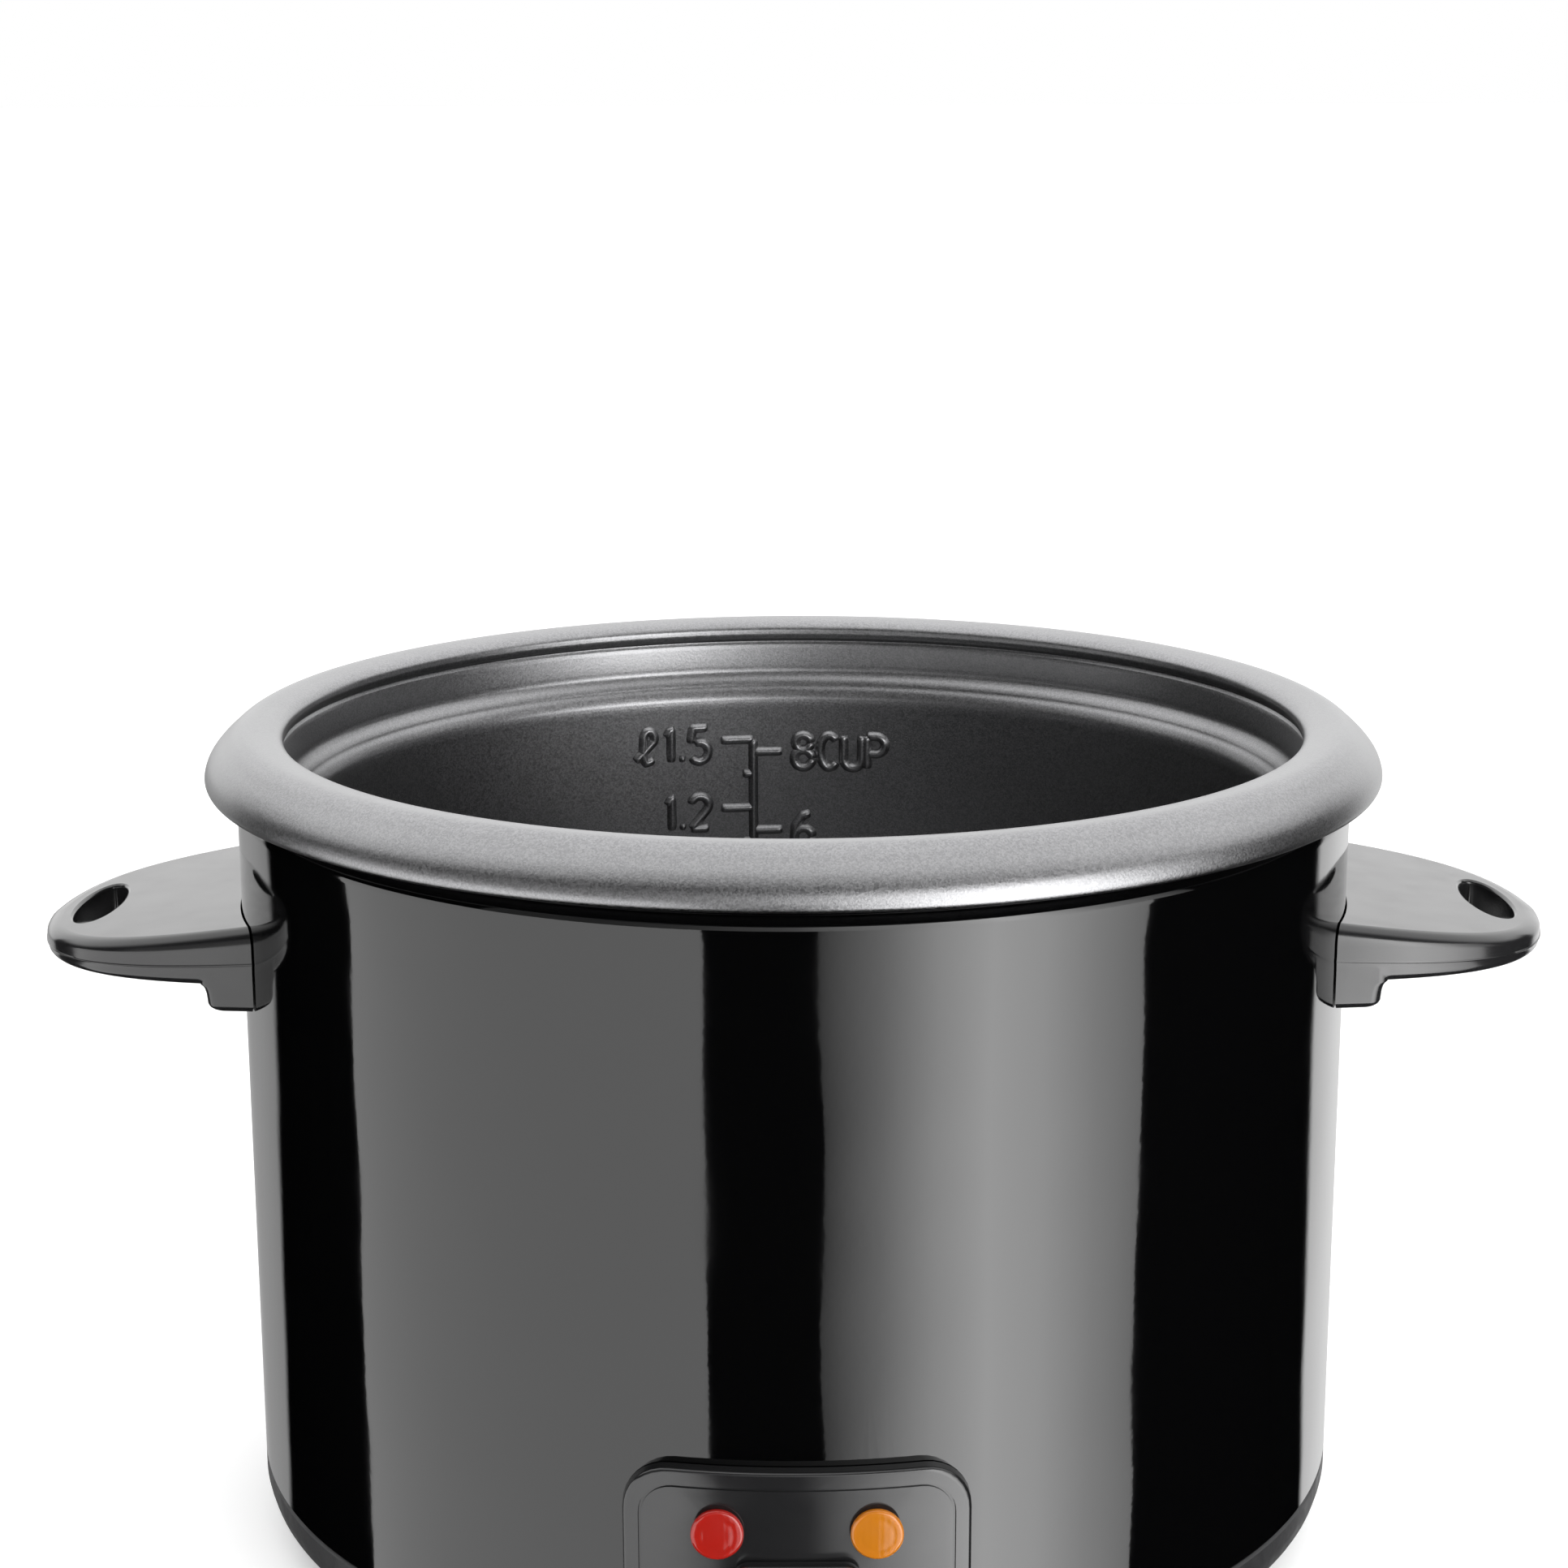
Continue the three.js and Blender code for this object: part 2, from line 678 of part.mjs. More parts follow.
function magnetUnit() {
  const top = 38.4;
  add("magnet", ring(3.4, 11, top - 6, top, 24), "ferrite");
  const holder = turned(
    [
      [0, 12.3],
      [5, 12.3],
      [5, 14.3],
      [3, 14.3],
      [3, 20.1],
      [5, 20.1],
      [5, 21.1],
      [3, 21.1],
      [3, 30.4],
      [14.2, 30.4],
      [14.2, 35.4],
      [11.4, 35.4],
      [11.4, 32.1],
      [3, 32.1],
      [3, top - 0.2],
      [0, top - 0.2],
    ],
    24,
  );
  add("magnet_holder", holder, "brass");
}

function coil(radius, wire, lowZ, highZ, turns) {
  const steps = turns * 9;
  const centreLow = lowZ + wire;
  const rise = highZ - lowZ - 2 * wire;
  const points = Array.from({ length: steps + 1 }, (_, i) => {
    const [x, y] = polar(radius, (360 * turns * i) / steps);
    return [x, y, centreLow + (rise * i) / steps];
  });
  return tube(points, wire, 6, steps);
}

function springs() {
  add("sensor_spring", coil(17.2, 0.6, 25.8, 34.1, 3), "steel");
  add("magnet_spring", coil(13.3, 0.45, 35.7, PLATE_TOP_Z - 1.5, 4), "steel");
}

// The keep-warm heater is a band clamped to part of the liner's outside.
function keepWarmBand() {
  const outer = LINER_R + LINER_SHEET;
  const sleeve = ring(outer + GAP, outer + GAP + 1.6, 96, 118, 2 * ROUND);
  const sector = block([-70, 85, 90], [70, 125, 125]);
  add("keep_warm_band", common(sleeve, sector), "mica");
}

function thermalFuse() {
  add("thermal_fuse", rodX(2, -10, 10, 44, 32.5, 12), "steel");
  const clip = cut(
    block([-3, 41, 29.8], [3, 47, PLATE_LOW_Z - GAP]),
    rodX(2.3, -5, 5, 44, 32.5, 12),
  );
  add("fuse_clip", clip, "steel");
}

// The power inlet: a moulded socket let into the back of the drum, with three blades.
function powerInlet() {
  const flange = common(
    ring(DRUM_R + GAP, 123.4, 0, 80, 2 * ROUND),
    slabY(roundedRect(48, 26, 5), 100, 130, 0, INLET_Z),
  );
  const shell = block([-13.4, 104, INLET_Z - 9.9], [13.4, 122, INLET_Z + 9.9]);
  const mouth = slabY(roundedRect(22, 15, 3), 108, 130, 0, INLET_Z);
  const bladeSlots = bladePlaces().map(([, x, z]) =>
    block([x - 1.4, 100, z - 2.7], [x + 1.4, 110, z + 2.7]),
  );
  const screwHoles = [-19, 19].map((x) => rodY(1.9, 110, 130, x, INLET_Z, 12));
  add("power_inlet", cut(join(flange, shell), mouth, ...bladeSlots, ...screwHoles), "darkPlastic");
}

function bladePlaces() {
  return [
    ["line", -7, INLET_Z - 2],
    ["earth", 0, INLET_Z + 2],
    ["neutral", 7, INLET_Z - 2],
  ];
}

function inletBlades() {
  bladePlaces().forEach(([name, x, z]) => {
    add(`inlet_blade_${name}`, block([x - 1, 102, z - 2.3], [x + 1, 118, z + 2.3]), "brass");
  });
}

function inletScrews() {
  [-19, 19].forEach((x, i) => {
    const screw = join(
      rodY(3, 123, 124.6, x, INLET_Z),
      rodY(1.5, 119, 124, x, INLET_Z, 10),
    );
    add(`inlet_screw_${i + 1}`, screw, "steel");
  });
}

function terminalBlock() {
  const body = block([-62, 44, 13], [-34, 58, 24]);
  const cups = [-57, -48, -39].map((x) => post(2.6, 18, 30, x, 51, 12));
  add("terminal_block", cut(body, ...cups), "ceramic");
}

// Wires run under the liner's floor, clear of the lever.
function wires() {
  const routes = {
    wire_line: [
      "whiteWire",
      [[-7, 102.7, 30.2], [-8.5, 102, 25], [-24, 88, 17], [-50, 68, 16.5], [-57, 59.5, 16.5]],
    ],
    wire_neutral: [
      "blueWire",
      [[7, 102.7, 30.2], [8, 101, 23], [9, 88, 13], [-12, 66, 12], [-38, 64, 14], [-42, 59.5, 16.5]],
    ],
    wire_earth: [
      "greenWire",
      [[0, 102.7, 34.2], [0, 102.4, 28], [1, 96, 23.2], [1, 86, 22.6], [0, 76, 22.6]],
    ],
    wire_switch: [
      "redWire",
      [[-4.6, -28, 22], [-16, -24, 18], [-34, 0, 14], [-44, 25, 14], [-46, 42.4, 16.5]],
    ],
    wire_lamps: [
      "redWire",
      [[-15, -102, 45], [-19, -101.5, 36], [-28, -92, 21], [-24, -62, 14], [-15, -38, 18], [-4.6, -34, 22]],
    ],
  };
  Object.entries(routes).forEach(([name, [finish, points]]) => {
    add(name, tube(points, 1.1, 8, 14), finish);
  });
}

innerPot();
outerCasing();
innerLiner();
bottomCover();
coverScrews();
feet();
handles();
handleScrews();
controlPanel();
lamps();
switchKey();
switchLever();
leverBracket();
pivotPin();
microSwitch();
heatingPlate();
heatingElement();
plateLegs();
sensorCap();
sensorBracket();
magnetUnit();
springs();
keepWarmBand();
thermalFuse();
powerInlet();
inletBlades();
inletScrews();
terminalBlock();
wires();

export default cooker;
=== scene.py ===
"""Looks of the rice cooker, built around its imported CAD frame. Metres, +Z up, front at -Y."""

import json
import math

import bmesh
import bpy
from mathutils import Matrix, Vector


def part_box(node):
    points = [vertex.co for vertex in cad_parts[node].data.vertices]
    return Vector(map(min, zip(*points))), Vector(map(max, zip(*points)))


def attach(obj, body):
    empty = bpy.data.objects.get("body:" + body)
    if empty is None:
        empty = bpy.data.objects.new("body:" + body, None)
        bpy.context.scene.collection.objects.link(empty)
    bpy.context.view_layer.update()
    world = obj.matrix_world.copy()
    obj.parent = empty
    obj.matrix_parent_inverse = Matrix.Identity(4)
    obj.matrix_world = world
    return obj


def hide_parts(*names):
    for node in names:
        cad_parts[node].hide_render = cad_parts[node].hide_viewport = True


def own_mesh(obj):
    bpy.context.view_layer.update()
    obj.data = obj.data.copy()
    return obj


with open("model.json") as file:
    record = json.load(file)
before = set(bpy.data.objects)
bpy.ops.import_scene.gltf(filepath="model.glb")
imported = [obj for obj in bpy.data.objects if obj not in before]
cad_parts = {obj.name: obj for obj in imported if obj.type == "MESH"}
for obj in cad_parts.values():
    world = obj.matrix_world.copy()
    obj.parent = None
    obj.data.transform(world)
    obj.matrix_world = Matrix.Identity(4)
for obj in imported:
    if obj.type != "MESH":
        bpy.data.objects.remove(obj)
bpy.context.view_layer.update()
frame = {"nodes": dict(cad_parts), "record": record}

MM = 0.001
TURN = 2 * math.pi

# Places read from the frame
POT_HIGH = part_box("inner_pot")[1]
DRUM_LOW, DRUM_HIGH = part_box("outer_casing")
LINER_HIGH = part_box("inner_liner")[1]
PLATE_LOW, PLATE_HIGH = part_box("heating_plate")
COVER_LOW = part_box("bottom_cover")[0]
CAP_LOW, CAP_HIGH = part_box("sensor_cap")
HANDLE_LOW, HANDLE_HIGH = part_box("right_handle")
PANEL_LOW, PANEL_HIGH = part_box("control_panel")
KEY_LOW, KEY_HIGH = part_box("switch_key")

CREST_Z = POT_HIGH.z
DRUM_R = DRUM_HIGH.x
DRUM_TOP_Z = DRUM_HIGH.z

# Camera: from the front and a little above
CAMERA_X = -2.0 * MM
CAMERA_BACK = 635.4 * MM
CAMERA_UP = 132.5 * MM
CAMERA_PITCH = math.radians(13.21)
CAMERA_ROLL = math.radians(-0.186)
CAMERA_LENS = 68.63
CAMERA_SENSOR = 36.0


# ------------ mesh tools


def shade(bm, sharp_deg):
    """Smooth shading, with edges over sharp_deg kept crisp."""
    limit = math.radians(sharp_deg)
    for edge in bm.edges:
        edge.smooth = len(edge.link_faces) != 2 or edge.calc_face_angle(0.0) <= limit
    for face in bm.faces:
        face.smooth = True


def new_object(name, bm, sharp_deg=35):
    """An object from a bmesh, which is used up."""
    bmesh.ops.recalc_face_normals(bm, faces=bm.faces)
    mesh = bpy.data.meshes.new(name)
    shade(bm, sharp_deg)
    bm.to_mesh(mesh)
    bm.free()
    obj = bpy.data.objects.new(name, mesh)
    bpy.context.scene.collection.objects.link(obj)
    return obj


def lathe(name, profile, segments=192, sharp_deg=35, base_z=0.0):
    """Turns a closed list of (r, z) points, in mm above base_z, about +Z."""
    bm = bmesh.new()
    rings = []
    for r_mm, z_mm in profile:
        r, z = r_mm * MM, base_z + z_mm * MM
        # A point on the axis is one vertex
        if r_mm == 0:
            rings.append([bm.verts.new((0, 0, z))] * segments)
            continue
        angles = [TURN * i / segments for i in range(segments)]
        rings.append([bm.verts.new((r * math.cos(a), r * math.sin(a), z)) for a in angles])
    for lower, upper in zip(rings, rings[1:] + rings[:1]):
        for i in range(segments):
            j = (i + 1) % segments
            corners = []
            for vert in (lower[i], lower[j], upper[j], upper[i]):
                if vert not in corners:
                    corners.append(vert)
            if len(corners) > 2:
                bm.faces.new(corners)
    return new_object(name, bm, sharp_deg)


def oval(cx, cy, rx, ry, start_deg, end_deg, steps=14):
    """Points along part of an ellipse."""
    points = []
    for i in range(steps + 1):
        angle = math.radians(start_deg + (end_deg - start_deg) * i / steps)
        points.append((cx + rx * math.cos(angle), cy + ry * math.sin(angle)))
    return points


def arc(centre, radius, start_deg, end_deg, steps):
    """Points along part of a circle."""
    return oval(*centre, radius, radius, start_deg, end_deg, steps)


def smooth_curve(points, steps):
    """A Catmull-Rom curve through 2-D points, with steps points on each stretch."""
    first = tuple(2 * a - b for a, b in zip(points[0], points[1]))
    last = tuple(2 * a - b for a, b in zip(points[-1], points[-2]))
    chain = [first, *points, last]
    out = []
    for p0, p1, p2, p3 in zip(chain, chain[1:], chain[2:], chain[3:]):
        for i in range(steps):
            t = i / steps
            out.append(tuple(
                b + 0.5 * t * (c - a + t * (2 * a - 5 * b + 4 * c - d + t * (3 * b - a - 3 * c + d)))
                for a, b, c, d in zip(p0, p1, p2, p3)
            ))
    out.append(tuple(points[-1]))
    return out


def thicken(points, depth):
    """The (r, z) points moved sideways by depth, to the right of the way they run."""
    out = []
    for i, (r, z) in enumerate(points):
        before = points[max(i - 1, 0)]
        after = points[min(i + 1, len(points) - 1)]
        dr, dz = after[0] - before[0], after[1] - before[1]
        length = math.hypot(dr, dz)
        out.append((r + depth * dz / length, z - depth * dr / length))
    return out


def skin(bm, low, high):
    """A band of faces between two closed rows of vertices."""
    for i in range(len(low)):
        j = (i + 1) % len(low)
        bm.faces.new((low[i], low[j], high[j], high[i]))


def close_ends(bm, rows):
    bm.faces.new(reversed(rows[0]))
    bm.faces.new(rows[-1])


def in_metres(point):
    return Vector(value * MM for value in point)


def loft(name, loops, sharp_deg=35, closed=False):
    """Joins loops of 3-D points, all with the same number of points, into a shell."""
    bm = bmesh.new()
    rows = [[bm.verts.new(p) for p in loop] for loop in loops]
    pairs = list(zip(rows, rows[1:]))
    if closed:
        pairs.append((rows[-1], rows[0]))
    for low, high in pairs:
        skin(bm, low, high)
    if not closed:
        close_ends(bm, rows)
    return new_object(name, bm, sharp_deg)


def boolean(obj, cutter, operation="DIFFERENCE", sharp_deg=35):
    """Cuts or joins cutter into obj and removes cutter."""
    modifier = obj.modifiers.new("cut", "BOOLEAN")
    modifier.operation = operation
    modifier.object = cutter
    modifier.solver = "MANIFOLD"
    depsgraph = bpy.context.evaluated_depsgraph_get()
    mesh = bpy.data.meshes.new_from_object(obj.evaluated_get(depsgraph))
    obj.modifiers.clear()
    obj.data = mesh
    bpy.data.objects.remove(cutter)
    bm = bmesh.new()
    bm.from_mesh(mesh)
    shade(bm, sharp_deg)
    bm.to_mesh(mesh)
    bm.free()


def even_shading(obj):
    """Lets the large faces set the normals, so that flats stay flat next to rounded edges."""
    modifier = obj.modifiers.new("normals", "WEIGHTED_NORMAL")
    modifier.keep_sharp = True
    modifier.weight = 80


def turn(obj, matrix):
    """Moves the mesh itself, so that the object stays at the origin."""
    obj.data.transform(matrix)
    return obj


def shift(obj, x, y, z):
    """Moves the mesh by x, y and z mm."""
    return turn(obj, Matrix.Translation(in_metres((x, y, z))))


def block(low, high, bevel=0.0):
    """A box between two corners in mm, with rounded edges where bevel is above zero."""
    bm = bmesh.new()
    bmesh.ops.create_cube(bm, size=1.0)
    low, high = in_metres(low), in_metres(high)
    size, middle = high - low, (high + low) / 2
    for vert in bm.verts:
        vert.co = Vector(a * b for a, b in zip(vert.co, size)) + middle
    if bevel:
        bmesh.ops.bevel(
            bm, geom=bm.edges[:], offset=bevel * MM, segments=3, affect="EDGES", profile=0.5
        )
    return new_object("block", bm, 40)


def tube(name, path, radius, sides):
    """A round tube along a path, with a frame carried along so that it doesn't twist."""
    chain = [path[0], *path, path[-1]]
    tangents = [(after - before).normalized() for before, after in zip(chain, chain[2:])]
    helper = Vector((0, 0, 1)) if abs(tangents[0].z) < 0.9 else Vector((1, 0, 0))
    side = (helper - tangents[0] * helper.dot(tangents[0])).normalized()
    angles = [TURN * k / sides for k in range(sides)]
    loops = []
    for centre, tangent in zip(path, tangents):
        side = (side - tangent * side.dot(tangent)).normalized()
        other = tangent.cross(side)
        loops.append([centre + radius * (math.cos(a) * side + math.sin(a) * other) for a in angles])
    return loft(name, loops, 60)


def join(name, objects):
    """One object from several."""
    bm = bmesh.new()
    for obj in objects:
        bm.from_mesh(obj.data)
        bpy.data.objects.remove(obj)
    return new_object(name, bm, 40)


# ------------ materials


def add_node(tree, kind, inputs=None, **settings):
    """A node with its settings, and its inputs linked from sockets or set to values."""
    made = tree.nodes.new(kind)
    for key, value in settings.items():
        setattr(made, key, value)
    for key, value in (inputs or {}).items():
        if isinstance(value, bpy.types.NodeSocket):
            tree.links.new(value, made.inputs[key])
        else:
            made.inputs[key].default_value = value
    return made


def map_range(tree, value, start, stop, low, high, **settings):
    """value between start and stop, as a number between low and high."""
    inputs = {"Value": value, "From Min": start, "From Max": stop, "To Min": low, "To Max": high}
    return add_node(tree, "ShaderNodeMapRange", inputs, **settings).outputs[0]


class Nodes:
    """Short calls for building one Principled material."""

    def __init__(self, name, color, roughness, metallic=0.0, **sockets):
        self.material = bpy.data.materials.new(name)
        self.material.use_nodes = True
        self.tree = self.material.node_tree
        self.shader = self.tree.nodes["Principled BSDF"]
        self.shader.inputs["Base Color"].default_value = (*color, 1.0)
        self.shader.inputs["Roughness"].default_value = roughness
        self.shader.inputs["Metallic"].default_value = metallic
        for socket, value in sockets.items():
            self.shader.inputs[socket.replace("_", " ")].default_value = value
        self.coords = self.tree.nodes.new("ShaderNodeTexCoord").outputs["Object"]

    def node(self, kind, inputs=None, **settings):
        return add_node(self.tree, kind, inputs, **settings)

    def stretched(self, scale):
        """Object coordinates, scaled apart along X, Y and Z."""
        return self.node("ShaderNodeMapping", {"Vector": self.coords, "Scale": scale}).outputs[0]

    def noise(self, scale, detail=3.0, vector=None):
        inputs = {"Vector": vector or self.coords, "Scale": scale, "Detail": detail}
        return self.node("ShaderNodeTexNoise", inputs).outputs["Fac"]

    def spread(self, value, low, high, start=0.3, stop=0.7):
        return map_range(self.tree, value, start, stop, low, high)

    def mix(self, value, first, second):
        """From colour first to colour second. On a mix node, sockets 6 and 7 are the colours."""
        inputs = {0: value, 6: (*first, 1.0), 7: (*second, 1.0)}
        return self.node("ShaderNodeMix", inputs, data_type="RGBA").outputs[2]

    def bump(self, height, strength, distance, normal=None):
        inputs = {"Height": height, "Strength": strength, "Distance": distance}
        if normal is not None:
            inputs["Normal"] = normal
        return self.node("ShaderNodeBump", inputs).outputs[0]

    def feed(self, socket, value):
        self.tree.links.new(value, self.shader.inputs[socket])


def coated_metal():
    """Grey non-stick coating: satin, with fine bright and dark flakes."""
    n = Nodes("coated_metal", (0.245, 0.245, 0.25), 0.35, 1.0)
    cells = n.node("ShaderNodeTexVoronoi", {"Vector": n.coords, "Scale": 3300.0}).outputs["Color"]
    flake = n.node("ShaderNodeSeparateColor", {"Color": cells}).outputs[0]
    cloud = n.spread(n.noise(60.0, 2.0), -0.06, 0.06)
    shade = n.node("ShaderNodeMath", {0: flake, 1: cloud}, operation="ADD").outputs[0]
    n.feed("Base Color", n.mix(shade, (0.2, 0.2, 0.205), (0.29, 0.29, 0.295)))
    n.feed("Roughness", n.spread(flake, 0.31, 0.39, 0.0, 1.0))
    soft = n.bump(n.noise(1800.0, 1.0), 0.1, 0.0002)
    n.feed("Normal", n.bump(flake, 0.2, 0.0001, soft))
    return n.material


def black_paint():
    """High gloss stove paint, with the slow waves of painted sheet and a trace of orange peel."""
    n = Nodes("black_paint", (0.0010, 0.0010, 0.0011), 0.045, 0.0, IOR=1.52)
    n.feed("Roughness", n.spread(n.noise(35.0, 4.0), 0.03, 0.07))
    waves = n.bump(n.noise(26.0, 1.0), 0.28, 0.0012)
    n.feed("Normal", n.bump(n.noise(420.0, 2.0), 0.05, 0.0001, waves))
    return n.material


def black_gloss_plastic():
    """Polished black moulding, a little softer in its shine than the paint."""
    n = Nodes("black_gloss_plastic", (0.010, 0.010, 0.0105), 0.17, 0.0, IOR=1.55)
    n.feed("Roughness", n.spread(n.noise(90.0, 4.0), 0.13, 0.22))
    slow = n.bump(n.noise(30.0, 2.0), 0.12, 0.0008)
    n.feed("Normal", n.bump(n.noise(2200.0, 2.0), 0.05, 0.00005, slow))
    return n.material


def dark_plastic():
    """Black moulding with a spark-eroded texture."""
    n = Nodes("dark_plastic", (0.018, 0.018, 0.019), 0.48)
    n.feed("Roughness", n.spread(n.noise(300.0, 4.0), 0.42, 0.56))
    n.feed("Normal", n.bump(n.noise(2600.0, 3.0), 0.35, 0.00008))
    return n.material


def speckled(name, color, roughness, dark, light, blotch, grain, metallic=0.0):
    """A matt finish, mixed from dark to light. blotch is the scale and detail of its patches,
    grain the scale, detail, strength and depth of its surface."""
    n = Nodes(name, color, roughness, metallic)
    scale, detail, strength, depth = grain
    n.feed("Base Color", n.mix(n.noise(*blotch), dark, light))
    n.feed("Normal", n.bump(n.noise(scale, detail), strength, depth))
    return n.material


def foot_rubber():
    dark, light = (0.012, 0.012, 0.012), (0.026, 0.025, 0.024)
    grain = (1500.0, 3.0, 0.3, 0.00012)
    return speckled("foot_rubber", (0.016, 0.016, 0.016), 0.8, dark, light, (500.0, 3.0), grain)


def metal(name, color, roughness, grain=(1.0, 1.0, 1.0), grain_scale=900.0, dark=0.8):
    """Bare metal with a fine grain, drawn out along the axes with a small scale."""
    n = Nodes(name, color, roughness, 1.0)
    lines = n.noise(grain_scale, 3.0, n.stretched(grain))
    dull = n.noise(45.0, 4.0)
    n.feed("Base Color", n.mix(dull, tuple(dark * c for c in color), color))
    n.feed("Roughness", n.spread(lines, roughness - 0.07, roughness + 0.09))
    n.feed("Normal", n.bump(lines, 0.12, 0.00005))
    return n.material


def cast_plate():
    """Cast aluminium with a turned face: fine rings about the axis, and heat stains."""
    n = Nodes("cast_plate", (0.56, 0.57, 0.58), 0.34, 1.0)
    flat = n.stretched((1.0, 1.0, 0.0))
    rings = n.node(
        "ShaderNodeTexWave",
        {"Vector": flat, "Scale": 420.0, "Distortion": 0.4, "Detail": 2.0},
        wave_type="RINGS",
        rings_direction="SPHERICAL",
    ).outputs["Fac"]
    n.feed("Base Color", n.mix(n.noise(28.0, 5.0), (0.44, 0.43, 0.42), (0.62, 0.63, 0.64)))
    n.feed("Roughness", n.spread(rings, 0.27, 0.42, 0.0, 1.0))
    n.feed("Normal", n.bump(rings, 0.25, 0.00006))
    return n.material


def ferrite_core():
    dark, light = (0.03, 0.03, 0.034), (0.08, 0.08, 0.085)
    grain = (1800.0, 3.0, 0.3, 0.0001)
    return speckled("ferrite_core", (0.05, 0.05, 0.055), 0.6, dark, light, (700.0, 4.0), grain, 0.25)


def lens(name, color):
    """Clear coloured moulding with a faintly ribbed back."""
    n = Nodes(name, color, 0.12, 0.0, IOR=1.49, Transmission_Weight=0.45)
    ribs = n.node(
        "ShaderNodeTexWave", {"Vector": n.coords, "Scale": 260.0}, bands_direction="X"
    ).outputs["Fac"]
    n.feed("Roughness", n.spread(n.noise(400.0), 0.08, 0.17))
    n.feed("Normal", n.bump(ribs, 0.08, 0.0001))
    return n.material


def lamp_glass():
    n = Nodes("lamp_glass", (0.85, 0.83, 0.78), 0.06, 0.0, IOR=1.5, Transmission_Weight=0.8)
    n.feed("Roughness", n.spread(n.noise(300.0), 0.03, 0.12))
    return n.material


def white_ceramic():
    dark, light = (0.66, 0.63, 0.56), (0.76, 0.74, 0.68)
    grain = (1600.0, 3.0, 0.2, 0.00008)
    return speckled("white_ceramic", (0.72, 0.70, 0.64), 0.55, dark, light, (200.0, 4.0), grain)


def heater_mica():
    n = Nodes("heater_mica", (0.42, 0.31, 0.16), 0.4)
    flakes = n.noise(160.0, 5.0, n.stretched((1.0, 1.0, 2.5)))
    n.feed("Base Color", n.mix(flakes, (0.26, 0.18, 0.09), (0.56, 0.44, 0.26)))
    n.feed("Roughness", n.spread(flakes, 0.28, 0.55))
    n.feed("Normal", n.bump(flakes, 0.2, 0.0001))
    return n.material


def wire_sleeve(name, color):
    light = tuple(min(1.0, 1.25 * c + 0.01) for c in color)
    grain = (1400.0, 2.0, 0.12, 0.00006)
    return speckled(name, color, 0.42, color, light, (260.0, 3.0), grain)


def material_set():
    """One material for each slot of the record."""
    plain = (
        coated_metal, black_paint, black_gloss_plastic, dark_plastic, foot_rubber, cast_plate,
        ferrite_core, lamp_glass, white_ceramic, heater_mica,
    )
    made = {build.__name__: build() for build in plain}
    for name, color, *grain in (
        ("plated_steel", (0.50, 0.50, 0.51), 0.34),
        ("liner_steel", (0.62, 0.63, 0.64), 0.32, (0.15, 0.15, 4.0), 500.0, 0.88),
        ("brass_parts", (0.60, 0.46, 0.20), 0.3),
    ):
        made[name] = metal(name, color, *grain)
    for build, name, color in (
        (lens, "red_lens", (0.46, 0.016, 0.010)),
        (lens, "amber_lens", (0.66, 0.22, 0.012)),
        (wire_sleeve, "wire_white", (0.68, 0.66, 0.60)),
        (wire_sleeve, "wire_blue", (0.015, 0.05, 0.24)),
        (wire_sleeve, "wire_green", (0.05, 0.26, 0.03)),
        (wire_sleeve, "wire_red", (0.34, 0.015, 0.010)),
    ):
        made[name] = build(name, color)
    return made


MATERIALS = material_set()
STOOD_FOR = set()
SLOT_OF = {row["node"]: row["material_slot"] for row in frame["record"]["subparts"]}


def stand_for(obj, body, *nodes, slot=None):
    """obj shows in place of CAD nodes, with their finish, and rides on their body."""
    slot = slot or SLOT_OF[nodes[0]]
    obj.data.materials.clear()
    obj.data.materials.append(MATERIALS[slot])
    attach(obj, body)
    if nodes:
        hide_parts(*nodes)
        STOOD_FOR.update(nodes)


# ------------ the pot

POT_SHEET = 1.8
POT_LOW_R = 105.5
POT_HIGH_R = 109.6
POT_DEPTH = 125.0
POT_CORNER = 20.0
POT_CORNER_AT = (POT_LOW_R - POT_CORNER, POT_CORNER - POT_DEPTH)


def pot_inside():
    """Inside of the pot in mm below the crest, from the middle of its floor up to the rim's groove."""
    floor = [(0.0, -POT_DEPTH), (30.0, -POT_DEPTH), (60.0, -POT_DEPTH)]
    wall = [(POT_LOW_R, z) for z in (-90.0, -75.0, -60.0, -45.0, -30.0, -21.5)]
    ledge = smooth_curve(
        [
            (POT_LOW_R, -20.2), (105.7, -18.9), (106.4, -17.4), (107.15, -16.3), (107.5, -15.6),
            (107.95, -14.9), (108.8, -13.8), (109.35, -12.7), (109.5, -11.2),
        ],
        5,
    )
    neck = [(109.75, -9.0), (110.0, -7.2)]
    bend = [(110.15, -6.1), (110.35, -5.7), (110.5, -5.25), (110.2, -4.9), (109.6, -4.5)]
    groove = smooth_curve(bend, 4)
    return floor + arc(POT_CORNER_AT, POT_CORNER, -90, 0, 16) + wall + ledge + neck + groove


def pot_rim():
    """Top of the rolled rim, from above the groove out to its lower lip."""
    return smooth_curve(
        [
            (109.3, -3.4), (109.6, -2.0), (110.9, -0.85), (113.6, -0.2), (117.0, 0.0), (119.3, -0.9),
            (121.3, -2.5), (123.5, -4.6), (125.2, -6.9), (126.0, -9.3), (125.7, -10.6),
            (124.9, -10.95),
        ],
        5,
    )


